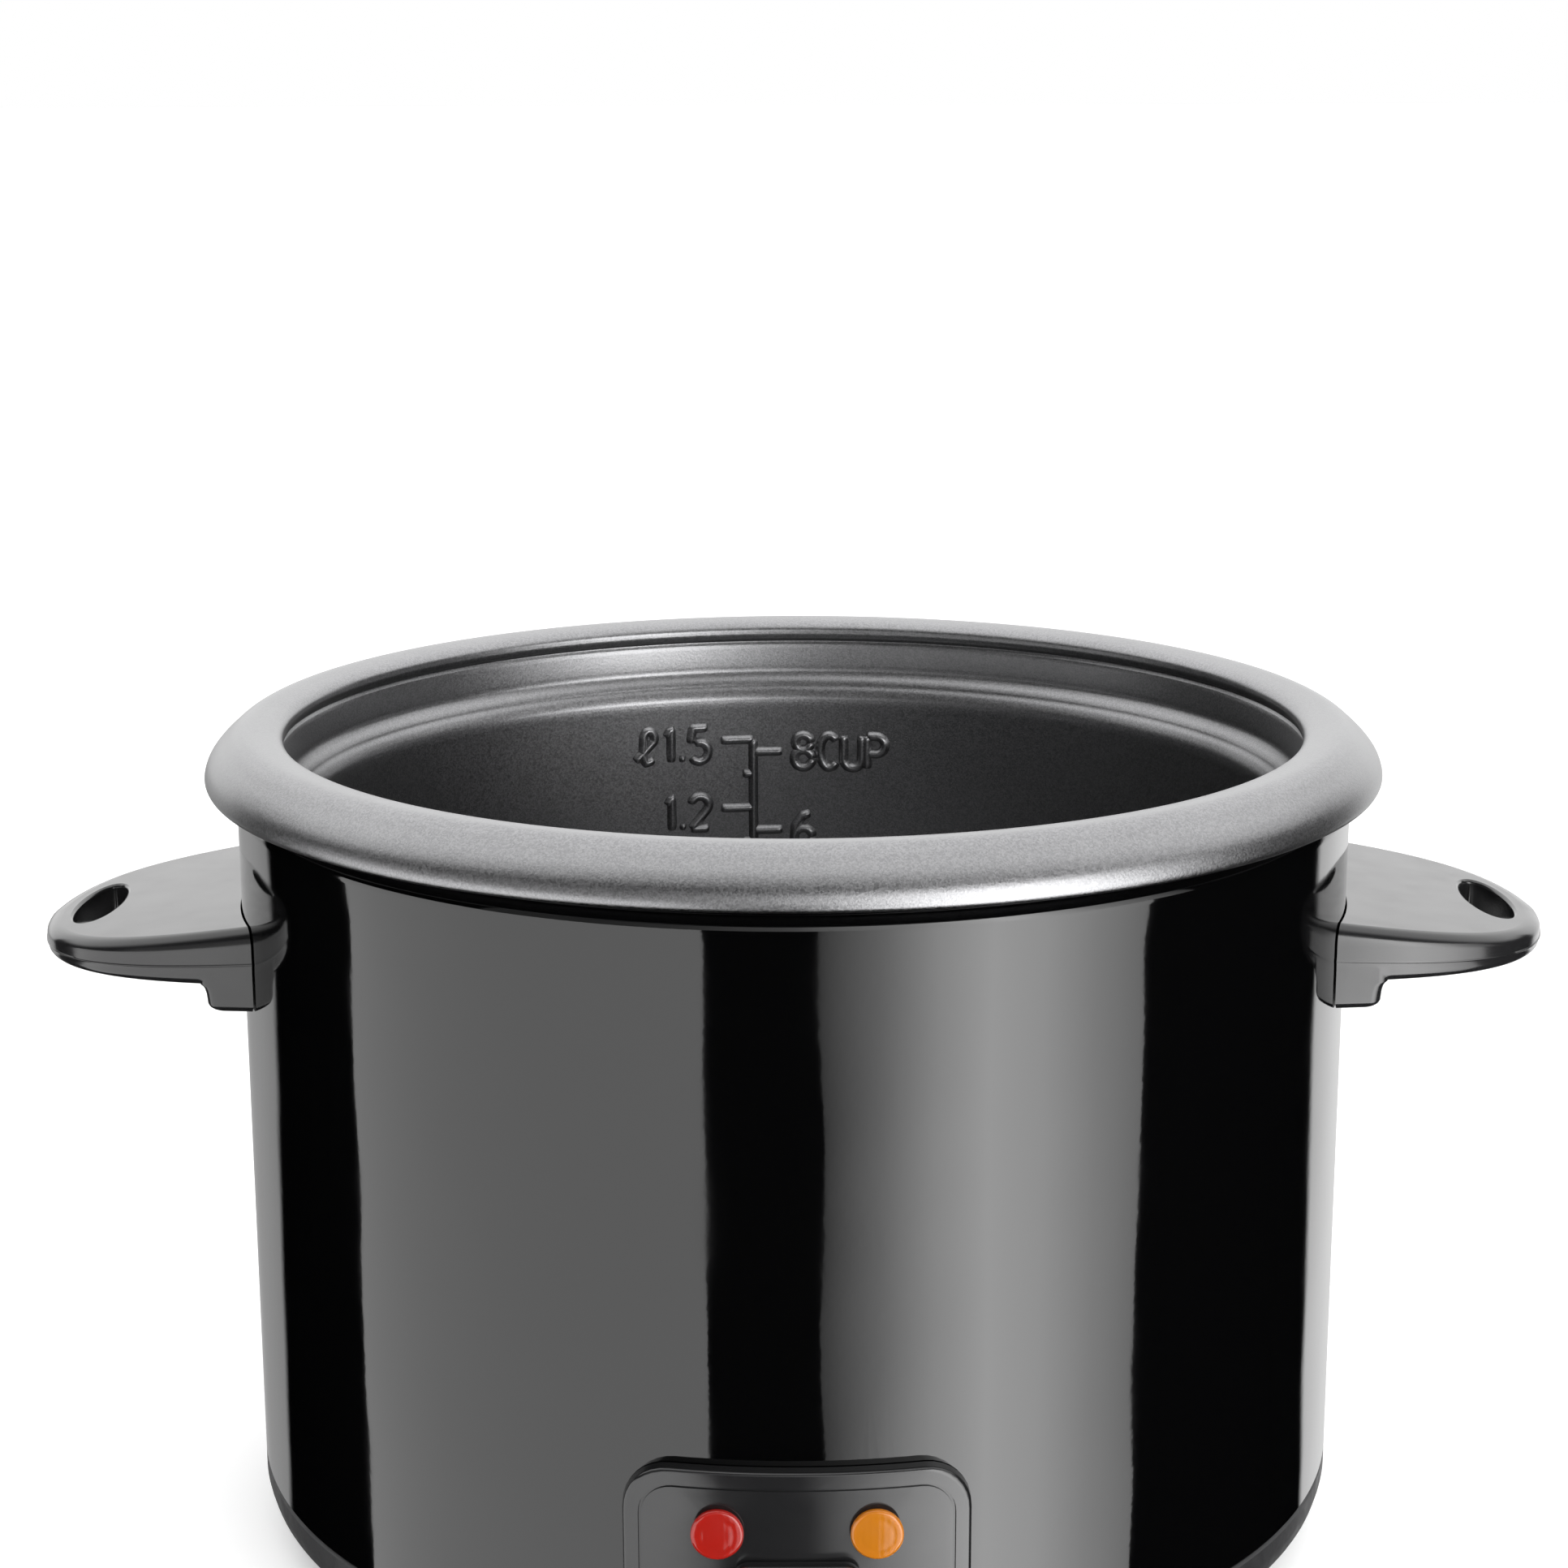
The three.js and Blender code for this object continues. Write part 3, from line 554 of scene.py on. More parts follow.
def pot_outside():
    """Outside of the pot, from under the rim's lip down to the middle of its underside."""
    under_rim = smooth_curve(
        [
            (124.2, -10.5), (123.9, -9.0), (122.2, -5.9), (119.6, -3.4),
            (116.8, -2.0), (113.6, -1.9), (111.9, -3.0),
        ],
        4,
    )
    neck = [(POT_HIGH_R + POT_SHEET, z) for z in (-5.0, -9.0, -12.5)]
    low_r = POT_LOW_R + POT_SHEET
    ledge = smooth_curve([(111.0, -14.6), (108.6, -17.2), (107.4, -19.0), (low_r, -21.0)], 4)
    wall = [(low_r, z) for z in (-45.0, -75.0)]
    round_corner = arc(POT_CORNER_AT, POT_CORNER + POT_SHEET, 0, -90, 14)
    return under_rim + neck + ledge + wall + round_corner + [(0.0, -POT_DEPTH - POT_SHEET)]


def make_pot():
    profile = pot_inside() + pot_rim() + pot_outside()
    pot = lathe("pot_shell", profile, 256, 50, CREST_Z)
    stand_for(pot, "pot", "inner_pot")


# Raised level marks on the back wall of the pot, in mm. A glyph is a list of strokes.
GLYPH_W = 4.6
GLYPH_H = 8.4
STROKE_W = 2.6
DOT_W = 1.9
# How far the narrow signs move the next one on, as a share of the pitch
NARROW_SIGNS = {".": 0.42, "1": 0.58}
SPINE_X = -9.8
LITRE_TOP_Z = -29.6
LITRE_STEP = 17.7
LITRE_TICK = 8.2
HALF_TICK = 2.7
CUP_TOP_Z = -32.8
CUP_STEP = 20.4
CUP_TICK = 7.4
# How far left of the spine the litre text starts, by its first sign, and how far it drops
LITRE_TEXT_X = {"0": 26.0, "1": 23.4, "l": 30.0}
LITRE_TEXT_DROP = 0.8
CUP_NUMBER_X = 10.4
CUP_WORD_X = 17.0


def glyph(sign):
    """Strokes of one sign, in mm from its lower left corner."""
    w, h = GLYPH_W, GLYPH_H
    mid = w / 2
    low = h * 0.27
    shapes = {
        "0": [oval(mid, h / 2, mid, h / 2, 0, 360, 24)],
        "1": [[(mid - 1.3, h - 1.8), (mid, h), (mid, 0.0)]],
        "2": [oval(mid, h - low, mid, low, 170, -40) + [(0.0, 0.0)], [(0.0, 0.0), (w, 0.0)]],
        "3": [
            oval(mid, h - low, mid * 0.9, low, 160, -90),
            oval(mid, low, mid, low * 0.95, 90, -160),
        ],
        "4": [[(w * 0.75, 0.0), (w * 0.75, h), (0.0, h * 0.3), (w, h * 0.3)]],
        "5": [
            [(w * 0.95, h), (w * 0.15, h), (0.0, h * 0.55)],
            oval(mid, low, mid, low * 1.1, 120, -150),
        ],
        "6": [
            oval(mid, low, mid, low, 0, 360, 20),
            [(0.0, low), (0.3, h * 0.62), (mid, h * 0.94), (w * 0.9, h)],
        ],
        "8": [
            oval(mid, low, mid, low, 0, 360, 20),
            oval(mid, h - low * 0.86, mid * 0.85, low * 0.86, 0, 360, 20),
        ],
        "9": [
            oval(mid, h - low, mid, low, 0, 360, 20),
            [(w, h - low), (w - 0.3, h * 0.38), (mid, h * 0.06), (w * 0.1, 0.0)],
        ],
        ".": [[(w * 0.2, -0.1), (w * 0.2, 1.5)]],
        "C": [oval(mid, h / 2, mid, h / 2, 40, 320, 22)],
        "U": [[(0.0, h), (0.0, mid)] + oval(mid, mid, mid, mid, 180, 360) + [(w, h)]],
        "P": [
            [(0.0, 0.0), (0.0, h)],
            [(0.0, h)] + oval(mid, h - low, mid, low, 90, -90) + [(0.0, h - 2 * low)],
        ],
        "l": [
            [(-0.6, 0.9), (mid, h * 0.42)]
            + oval(mid * 1.35, h * 0.76, mid * 0.62, h * 0.24, -20, 190)
            + [(mid * 0.6, h * 0.25), (mid, 0.2), (w * 0.95, 0.9)],
        ],
    }
    return shapes[sign]


def wall_point(x, z, lift):
    """A place on the pot's back wall: x mm round the wall from the axis plane, z mm below the crest."""
    angle = math.pi / 2 - x / POT_LOW_R
    radius = (POT_LOW_R - lift) * MM
    return Vector((radius * math.cos(angle), radius * math.sin(angle), CREST_Z + z * MM))


def dense(points, spacing=0.35):
    """The same line with points close together."""
    out = []
    for (x0, y0), (x1, y1) in zip(points, points[1:]):
        steps = max(1, math.ceil(math.hypot(x1 - x0, y1 - y0) / spacing))
        out += [(x0 + (x1 - x0) * i / steps, y0 + (y1 - y0) * i / steps) for i in range(steps)]
    out.append(points[-1])
    return out


def bead(bm, stroke, width=STROKE_W, height=1.2, sides=9):
    """A raised bead along one stroke, its flanks running out into the wall, with tapered round ends."""
    line = dense(stroke)
    reach = [0.0]
    for (x0, y0), (x1, y1) in zip(line, line[1:]):
        reach.append(reach[-1] + math.hypot(x1 - x0, y1 - y0))
    total = reach[-1]
    rows = []
    for i, (x, z) in enumerate(line):
        before, after = line[max(i - 1, 0)], line[min(i + 1, len(line) - 1)]
        dx, dz = after[0] - before[0], after[1] - before[1]
        length = math.hypot(dx, dz) or 1.0
        side = (-dz / length, dx / length)
        near_end = min(reach[i], total - reach[i]) / (width / 2)
        fade = math.sqrt(max(0.0, 1 - (1 - min(1.0, near_end + 0.15)) ** 2))
        row = []
        for k in range(sides):
            u = 2 * k / (sides - 1) - 1
            across = u * width / 2 * (0.45 + 0.55 * fade)
            lift = height * fade * max(0.0, math.cos(u * math.pi / 2)) ** 1.1 - 0.08
            row.append(bm.verts.new(wall_point(x + side[0] * across, z + side[1] * across, lift)))
        back = [
            bm.verts.new(wall_point(x + side[0] * s * width / 2, z + side[1] * s * width / 2, -0.4))
            for s in (1, -1)
        ]
        rows.append(row + back)
    for low, high in zip(rows, rows[1:]):
        skin(bm, low, high)
    close_ends(bm, rows)


def write(bm, text, x, z, pitch=7.3):
    """Raised text with its first sign's left edge at x and its mid-height at z."""
    for sign in text:
        for stroke in glyph(sign):
            width = DOT_W if sign == "." else STROKE_W
            bead(bm, [(x + px, z - GLYPH_H / 2 + pz) for px, pz in stroke], width)
        x += pitch * NARROW_SIGNS.get(sign, 1.0)


def make_level_marks():
    bm = bmesh.new()
    lowest = LITRE_TOP_Z - 4 * LITRE_STEP
    bead(bm, [(SPINE_X, LITRE_TOP_Z), (SPINE_X, lowest)])
    for i, text in enumerate(("1.5", "1.2", "0.9", "0.6", "0.3")):
        z = LITRE_TOP_Z - i * LITRE_STEP
        bead(bm, [(SPINE_X - LITRE_TICK, z), (SPINE_X, z)])
        if i < 4:
            half = z - LITRE_STEP / 2
            bead(bm, [(SPINE_X - HALF_TICK, half), (SPINE_X, half)])
        write(bm, text, SPINE_X - LITRE_TEXT_X[text[0]], z - LITRE_TEXT_DROP)
    write(bm, "l", SPINE_X - LITRE_TEXT_X["l"], LITRE_TOP_Z - LITRE_TEXT_DROP)
    for i, text in enumerate(("8", "6", "4", "2")):
        z = CUP_TOP_Z - i * CUP_STEP
        bead(bm, [(SPINE_X, z), (SPINE_X + CUP_TICK, z)])
        write(bm, text, SPINE_X + CUP_NUMBER_X, z)
    write(bm, "CUP", SPINE_X + CUP_WORD_X, CUP_TOP_Z, 6.0)
    marks = new_object("level_marks", bm, 70)
    stand_for(marks, "pot", slot="coated_metal")


# ------------ drum and base

DRUM_SHEET = 1.2
DRUM_LOW_Z = DRUM_LOW.z / MM
DRUM_BEND = 3.5
DRUM_MOUTH_R = 112.7
ROUND_SIDES = 224
LAMP_HOLE_R = 4.3
KEY_SLOT_HALF = 7
KEY_SLOT_TOP_Z = 38.5


def plain_rod(radius, low, high, sides):
    """A solid round rod on +Z, in mm."""
    return lathe("rod", [(0, low), (radius, low), (radius, high), (0, high)], sides)


def stand_at_back(obj, x, z):
    """Turns what was made along +Z to point to the back, with its axis at x and z mm."""
    turn(obj, Matrix.Rotation(-math.pi / 2, 4, "X"))
    return shift(obj, x, 0, z)


def rod_y(radius, y_low, y_high, x, z, sides=48):
    """A solid round rod along Y, in mm."""
    return stand_at_back(plain_rod(radius, y_low, y_high, sides), x, z)


def post(radius, z_low, z_high, x, y, sides=48):
    """A solid round rod along Z, in mm."""
    return shift(plain_rod(radius, z_low, z_high, sides), x, y, 0)


def polar(radius, degrees):
    angle = math.radians(degrees)
    return radius * math.cos(angle), radius * math.sin(angle)


def node_middle(name):
    low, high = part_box(name)
    middle = (low + high) / (2 * MM)
    return middle.x, middle.y, middle.z


LENS_MIDDLES = [node_middle("cook_lamp_lens"), node_middle("warm_lamp_lens")]
INLET_Z = node_middle("power_inlet")[2]
INLET_SCREW_X = 19
INLET_HOLE_X = 14
INLET_HOLE_Z = 10.5


def cut_controls(obj, y_low, y_high, slot_low):
    """The key's slot and the two lamp holes, through the drum or the panel."""
    slot_end = (KEY_SLOT_HALF, y_high, KEY_SLOT_TOP_Z)
    boolean(obj, block((-KEY_SLOT_HALF, y_low, slot_low), slot_end))
    for x, _, z in LENS_MIDDLES:
        boolean(obj, rod_y(LAMP_HOLE_R, y_low, y_high, x, z))


def make_casing():
    top = DRUM_TOP_Z / MM
    radius = DRUM_R / MM
    bend = (radius - DRUM_BEND, top - DRUM_BEND)
    hem = [(radius - DRUM_SHEET, DRUM_LOW_Z + 0.4)]
    hem += [(radius - 0.8, DRUM_LOW_Z), (radius - 0.3, DRUM_LOW_Z)]
    outside = [(radius, z) for z in (DRUM_LOW_Z + 0.4, 45.0, 75.0, 105.0, 135.0, 155.0)]
    mouth = [(DRUM_MOUTH_R + 0.3, top), (DRUM_MOUTH_R, top - 0.4), (DRUM_MOUTH_R, top - DRUM_SHEET)]
    inside = arc(bend, DRUM_BEND - DRUM_SHEET, 90, 0, 8)
    profile = hem + outside + arc(bend, DRUM_BEND, 0, 90, 14) + mouth + inside
    casing = lathe("drum_shell", profile, ROUND_SIDES, 50)
    cut_controls(casing, -125, -110, 18.7)
    inlet_end = (INLET_HOLE_X, 125, INLET_Z + INLET_HOLE_Z)
    boolean(casing, block((-INLET_HOLE_X, 110, INLET_Z - INLET_HOLE_Z), inlet_end))
    stand_for(casing, "root", "outer_casing")


COVER_FLOOR_Z = COVER_LOW.z / MM
COVER_WALL = 2.5


def make_base():
    radius = DRUM_R / MM
    low = COVER_FLOOR_Z
    ledge = DRUM_LOW_Z - 0.3
    profile = [(0, low), (60, low), (108, low)]
    shoulder = [(112.0, low), (115.4, low + 0.9), (118.2, low + 3.0), (radius - 0.2, low + 6.0)]
    profile += smooth_curve(shoulder, 4)
    profile += [(radius, low + 7.0), (radius, ledge - 0.5), (radius - 0.5, ledge), (117.7, ledge)]
    profile += [(117.7, DRUM_LOW_Z + 3.0), (115.5, DRUM_LOW_Z + 3.0)]
    profile += [(115.5, low + 6.0)] + [(r, low + COVER_WALL) for r in (111.0, 60, 0)]
    base = lathe("base_dish", profile, ROUND_SIDES, 35)
    for i in range(3):
        x, y = polar(80, 60 + 120 * i)
        boolean(base, post(6, low + 1, 26.7, x, y), "UNION")
        boolean(base, post(4, low - 1, 22.7, x, y))
        boolean(base, post(2.3, 20.0, 27.7, x, y, 24))
    for i in range(4):
        x, y = polar(98, 45 + 90 * i)
        boolean(base, post(3.4, low - 1, low + COVER_WALL + 1, x, y, 32))
    air_slot = (26, 52, 1.6, low - 1, low + 4)
    groove = (58, 70, 0.7, low - 1, low + 0.6)
    for count, bar in ((12, air_slot), (24, groove)):
        for i in range(count):
            spoke = Matrix.Rotation(TURN * (i + 0.5) / count, 4, "Z")
            boolean(base, turn(rounded_bar(*bar), spoke))
    stand_for(base, "root", "bottom_cover")


def rounded_bar(x_low, x_high, half, z_low, z_high, steps=6):
    """A bar along X with half-round ends, in mm."""
    outline = arc((x_high - half, 0), half, -90, 90, steps)
    outline += arc((x_low + half, 0), half, 90, 270, steps)
    loops = [[in_metres((x, y, z)) for x, y in outline] for z in (z_low, z_high)]
    return loft("bar", loops)


def make_feet():
    for i in range(4):
        name = f"foot_{i + 1}"
        x, y, _ = node_middle(name)
        profile = [(0, 0.6), (5.4, 0.6), (5.9, 0.0), (7.4, 0.0), (8.3, 0.3), (8.9, 1.1), (9.0, 1.9)]
        profile += [(8.75, 2.2), (8.75, 2.5), (9.0, 2.8), (9.0, 4.2), (8.6, 4.7), (3.0, 4.7), (3.0, 7.8)]
        profile += [(4.6, 7.8), (4.4, 8.6), (3.0, 10.0), (0, 10.0)]
        foot = lathe(f"{name}_rubber", profile, 48, 40)
        shift(foot, x, y, 0)
        stand_for(foot, "root", name)


def make_liner():
    top = LINER_HIGH.z / MM
    wall = 112.4
    floor = 28.0
    inside = [(32.3, floor), (60, floor), (88, floor)]
    foot = [(93.0, floor), (95.8, floor + 1.4), (97.1, floor + 4.4), (98.2, 42.0), (99.2, 50.4)]
    inside += smooth_curve(foot, 4)
    flare = [(101.5, 55.6), (105.3, 60.8), (110.0, 68.5), (112.2, 74.0), (wall, 79.0)]
    inside += smooth_curve(flare, 4)
    inside += [(wall, z) for z in (100.0, 130.0, 150.0)]
    inside += arc((wall + 1.6, top - 1.6), 1.6, 180, 90, 5)
    outside = thicken(inside, 1.0)
    rim = [(116.3, top), (116.5, top - 0.5), (116.3, top - 1.0)]
    profile = inside + rim + list(reversed(outside))
    liner = lathe("liner_bowl", profile, 192, 40)
    for i in range(3):
        for radius, degrees in ((76, 90 + 120 * i), (80, 60 + 120 * i)):
            x, y = polar(radius, degrees)
            boolean(liner, post(2.4, 25, 30, x, y, 24), sharp_deg=40)
    stand_for(liner, "root", "inner_liner")


def make_plate():
    low, top = PLATE_LOW.z / MM, PLATE_HIGH.z / MM
    groove_in, groove_out, groove_top = 59.6, 68.4, low + 5.4
    profile = [(17.5, low + 0.5), (18.0, low), (groove_in, low), (groove_in, groove_top - 1.5)]
    profile += [(groove_in + 1.5, groove_top), (groove_out - 1.5, groove_top)]
    profile += [(groove_out, groove_top - 1.5), (groove_out, low), (84.6, low)]
    profile += [(87.4, low + 2.0), (88.0, low + 4.0), (88.0, top - 2.6)]
    profile += smooth_curve([(87.6, top - 1.3), (86.9, top - 0.5), (85.6, top - 0.05)], 3)
    turned = []
    for radius in range(82, 20, -4):
        turned += [(radius + 0.35, top), (radius, top - 0.12), (radius - 0.35, top)]
    profile += [(84.5, top)] + turned + [(18.3, top), (17.5, top - 0.6)]
    plate = lathe("plate_casting", profile, 192, 40)
    stand_for(plate, "root", "heating_plate")


def make_sensor_cap():
    low, top = CAP_LOW.z / MM, CAP_HIGH.z / MM
    outer = [(18.6, low), (19.0, low + 0.4), (19.0, low + 0.9), (18.7, low + 1.2), (16.8, low + 1.25)]
    outer += [(16.2, low + 1.6), (16.0, low + 2.2), (16.0, top - 1.4)]
    outer += [(15.7, top - 0.5), (15.0, top - 0.05)]
    face = [(13.5, top), (13.0, top - 0.15), (12.5, top), (6.0, top), (0, top)]
    under = [(0, top - 1.2), (14.0, top - 1.2), (14.8, top - 2.0), (14.8, low + 0.3), (15.1, low)]
    cap = lathe("sensor_dome", outer + face + under, 96, 40)
    stand_for(cap, "thermostat", "sensor_cap")


def coil_points(radius, low, high, turns, steps=28):
    """A helix in mm with its end turns closed up."""
    points = []
    count = turns * steps
    for i in range(count + 1):
        t = i / count
        rise = t - 0.085 * math.sin(TURN * t)
        x, y = polar(radius, 360 * turns * t)
        points.append(in_metres((x, y, low + (high - low) * rise)))
    return points


def make_spring(node, coil, body):
    """Stands on the part that holds its fixed end."""
    name, radius, turns, wire, sides = coil
    low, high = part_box(node)
    seat, end = low.z / MM, high.z / MM
    spring = tube(name, coil_points(radius, seat + wire, end - wire, turns), wire * MM, sides)
    stand_for(spring, body, node)
    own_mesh(spring)


def make_springs():
    coil = ("sensor_coil", 17.2, 4, 0.6, 12)
    make_spring("sensor_spring", coil, "root")
    coil = ("magnet_coil", 13.3, 6, 0.45, 10)
    make_spring("magnet_spring", coil, "thermostat")


# ------------ handles

HANDLE_TOP_Z = 140.1
HANDLE_LOW_Z = 128.2
HANDLE_FOOT_Z = HANDLE_LOW.z / MM
HANDLE_LEAN_X = 116.0
HANDLE_TIP_X = HANDLE_HIGH.x / MM
SLOT_X = 152.6
SLOT_RX = 4.8
SLOT_RY = 15.5
DRUM_CLEAR_R = DRUM_R / MM + 0.3


def bezier(points, t):
    """The point at t on a cubic curve with four control points."""
    u = 1 - t
    weights = (u ** 3, 3 * u * u * t, 3 * u * t * t, t ** 3)
    return tuple(sum(w * v for w, v in zip(weights, values)) for values in zip(*points))


def wing_outline():
    """Plan of the right wing: front root, tip, back root, then across inside the drum."""
    steps = 44
    front = [(110, -42), (140.8, -40.1), (161.7, -33.6), (HANDLE_TIP_X, 0)]
    side = [(100.0, -36.5), (103.5, -40.0), (107.0, -41.6)]
    side += [bezier(front, i / steps) for i in range(steps + 1)]
    back = [(x, -y) for x, y in reversed(side[:-1])]
    across = [(98.5, 31.0), (98.0, 24.0), (98.0, 16.0), (98.0, 8.0), (98.0, 0.0)]
    across += [(x, -y) for x, y in reversed(across[:-1])]
    return side + back + across


def inward_normals(outline):
    """Unit vectors into a loop that runs anticlockwise."""
    out = []
    for i in range(len(outline)):
        (x0, y0), (x1, y1) = outline[i - 1], outline[(i + 1) % len(outline)]
        dx, dy = x1 - x0, y1 - y0
        length = math.hypot(dx, dy)
        out.append((-dy / length, dx / length))
    return out


def wing_z(x, share):
    """Height of the wing at x, share of the way up from its underside. It leans down to its tip."""
    reach = x - HANDLE_LEAN_X
    return HANDLE_LOW_Z + share * (HANDLE_TOP_Z - HANDLE_LOW_Z) - reach * (0.148 * share - 0.007)


def right_wing():
    outline = wing_outline()
    normals = inward_normals(outline)
    slot = []
    for x, y in outline:
        angle = math.atan2(y / 1.6, x - SLOT_X)
        slot.append((math.cos(angle), math.sin(angle)))

    def wing_point(x, y, share, drop=0.0):
        return in_metres((x, y, wing_z(x, share) - drop))

    def outer_loop(inset, share):
        corners = zip(outline, normals)
        return [wing_point(x + nx * inset, y + ny * inset, share) for (x, y), (nx, ny) in corners]

    def slot_point(direction, grow):
        return SLOT_X + (SLOT_RX + grow) * direction[0], (SLOT_RY + grow) * direction[1]

    def slot_loop(grow, share, drop=0.0):
        return [wing_point(*slot_point(direction, grow), share, drop) for direction in slot]

    def between(part, inset, share):
        """A loop on the top or underside, part of the way from the outer edge to the slot."""
        loop = []
        for (x, y), (nx, ny), direction in zip(outline, normals, slot):
            ox, oy = x + nx * inset, y + ny * inset
            sx, sy = slot_point(direction, 2.4)
            loop.append(wing_point(ox + (sx - ox) * part, oy + (sy - oy) * part, share))
        return loop

    loops = []
    edge = 3.2
    for i in range(9):
        angle = math.pi / 2 * (1 - i / 8)
        loops.append(outer_loop(edge * (1 - math.cos(angle)), 0.66 + 0.34 * math.sin(angle)))
    parting = ((0.0, 0.44), (-0.2, 0.405), (-0.2, 0.385), (0.0, 0.35))
    loops += [outer_loop(inset, share) for inset, share in parting]
    low_edge = 1.6
    for i in range(6):
        angle = math.pi / 2 * i / 5
        loops.append(outer_loop(0.15 + low_edge * (1 - math.cos(angle)), 0.2 - 0.2 * math.sin(angle)))
    loops += [between(part, 0.15 + low_edge, 0.0) for part in (0.15, 0.35, 0.55, 0.75, 0.92)]
    collar = ((2.1, 0.0), (1.8, 0.3), (1.8, 2.2), (1.5, 2.5), (0.3, 2.5), (0.0, 2.2), (0.0, 0.0))
    loops += [slot_loop(grow, 0.0, drop) for grow, drop in collar]
    loops.append(slot_loop(0.0, 0.5))
    mouth = ((0.0, 0.9), (0.1, 0.5), (0.4, 0.15), (0.8, 0.0))
    loops += [slot_loop(grow, 1.0, drop) for grow, drop in mouth]
    loops += [between(part, edge, 1.0) for part in (0.92, 0.75, 0.55, 0.35, 0.15)]
    return loft("wing", loops, 40, closed=True)


def foot_side(x):
    """Half the foot's breadth at x, a hair inside the wing's own side."""
    reach = x - 110
    return 41.9 - 0.062 * reach - 0.0023 * reach ** 2


def right_foot():
    """The block under the wing, against the drum: flush with the wing's sides, its top flared."""
    corner = 2.5
    levels = [(3.0, 1.0), (0.0, 1.0), (-0.4, 0.55), (-1.0, 0.2), (-2.0, 0.0), (-4.2, 0.0)]
    levels += [(-4.9, -0.25), (-5.4, -0.7), (-5.7, -1.2), (HANDLE_FOOT_Z - HANDLE_LOW_Z, -1.7)]
    loops = []
    for drop, grow in levels:
        shrink = min(grow, 0.0) + 0.03 * min(drop, 0.0)
        x_out = 122.7 + grow + 0.1 * min(drop, 0.0)
        centre_x = x_out - corner
        centre_y = foot_side(centre_x) + shrink - corner
        side = [(x, foot_side(x) + shrink) for x in (100.0, 104.0, 108.0, 112.0, 115.0)]
        loop = [(x, -y) for x, y in side] + arc((centre_x, -centre_y), corner, -90, 0, 6)
        loop += [(x_out, y) for y in (-20.0, 0.0, 20.0)]
        loop += arc((centre_x, centre_y), corner, 0, 90, 6) + list(reversed(side))
        loops.append([in_metres((x, y, HANDLE_LOW_Z + drop)) for x, y in loop])
    return loft("handle_foot", loops, 50)


def flatten_top(grip):
    """The wing's top is one plane, so its faces are shaded flat."""
    highest = max(grip.data.polygons, key=lambda face: face.area * face.normal.z)
    for face in grip.data.polygons:
        if face.normal.dot(highest.normal) > 0.99995:
            face.use_smooth = False


def make_handles():
    wing = right_wing()
    boolean(wing, right_foot(), "UNION", 40)
    drum = plain_rod(DRUM_CLEAR_R, 100, 170, ROUND_SIDES)
    boolean(wing, drum, sharp_deg=40)
    wing.name = "right_grip"
    other = bpy.data.objects.new("left_grip", wing.data.copy())
    bpy.context.scene.collection.objects.link(other)
    turn(other, Matrix.Rotation(math.pi, 4, "Z"))
    for grip, node in ((wing, "right_handle"), (other, "left_handle")):
        flatten_top(grip)
        even_shading(grip)
        stand_for(grip, "root", node)


# ------------ front panel and inlet


def rounded_outline(width, height, radius, steps=8):
    """Points round a rectangle with rounded corners, about its middle."""
    points = []
    for cx, cy, start in ((1, 1, 0), (-1, 1, 90), (-1, -1, 180), (1, -1, 270)):
        centre = (cx * (width / 2 - radius), cy * (height / 2 - radius))
        points += arc(centre, radius, start, start + 90, steps)
    return points


def split_long(points, longest=4.0):
    """The same closed outline, with points added on its long straights."""
    return dense(points + points[:1], longest)[:-1]


def on_drum(x, z, radius, back=False):
    """A point on a cylinder about the drum's axis, at the front or the back, in mm."""
    y = math.sqrt(radius * radius - x * x)
    return in_metres((x, y if back else -y, z))


def curved_plate(name, width, height, corner, middle_z, r_low, r_high, edge=0.8, back=False):
    """A plate with rounded corners and a rounded front edge, bent round the drum."""
    outline = split_long(rounded_outline(width, height, corner))
    loops = []

    def add_loop(shrink, radius):
        sx, sz = 1 - 2 * shrink / width, 1 - 2 * shrink / height
        loops.append([on_drum(x * sx, middle_z + z * sz, radius, back) for x, z in outline])

    for part in (0.999, 0.7, 0.4):
        add_loop(part * height / 2, r_low)
    add_loop(0.0, r_low)
    for i in range(6):
        angle = math.pi / 2 * i / 5
        add_loop(edge * (1 - math.cos(angle)), r_high - edge + edge * math.sin(angle))
    for part in (0.25, 0.45, 0.65, 0.85, 0.999):
        add_loop(part * height / 2, r_high)
    return loft(name, loops, 40)


def stepped(name, width, height, spacing, middle_z, rows, sharp_deg=35):
    """A rounded rectangle drawn out along Y. Each row is its growth all round and its y, in mm."""
    outline = split_long(rounded_outline(width, height, 3), spacing)
    loops = []
    for grow, y in rows:
        sx, sz = 1 + 2 * grow / width, 1 + 2 * grow / height
        loops.append([in_metres((x * sx, y, middle_z + z * sz)) for x, z in outline])
    return loft(name, loops, sharp_deg)


def make_panel():
    low, high = PANEL_LOW.z / MM, PANEL_HIGH.z / MM
    middle = (low + high) / 2
    r_high = -PANEL_LOW.y / MM
    tall = high - low
    panel = curved_plate("panel_face", 66, tall, 9, middle, DRUM_CLEAR_R, r_high)
    cut_controls(panel, -130, -100, 20.5)
    frame_cut = curved_plate("cut", 60, tall - 6, 6.5, middle, r_high - 0.35, r_high + 1.0, 0.05)
    frame_keep = curved_plate("keep", 58.8, tall - 7.2, 5.9, middle, r_high - 1.0, r_high + 1.5, 0.05)
    boolean(frame_cut, frame_keep)
    boolean(panel, frame_cut)
    even_shading(panel)
    stand_for(panel, "root", "control_panel")


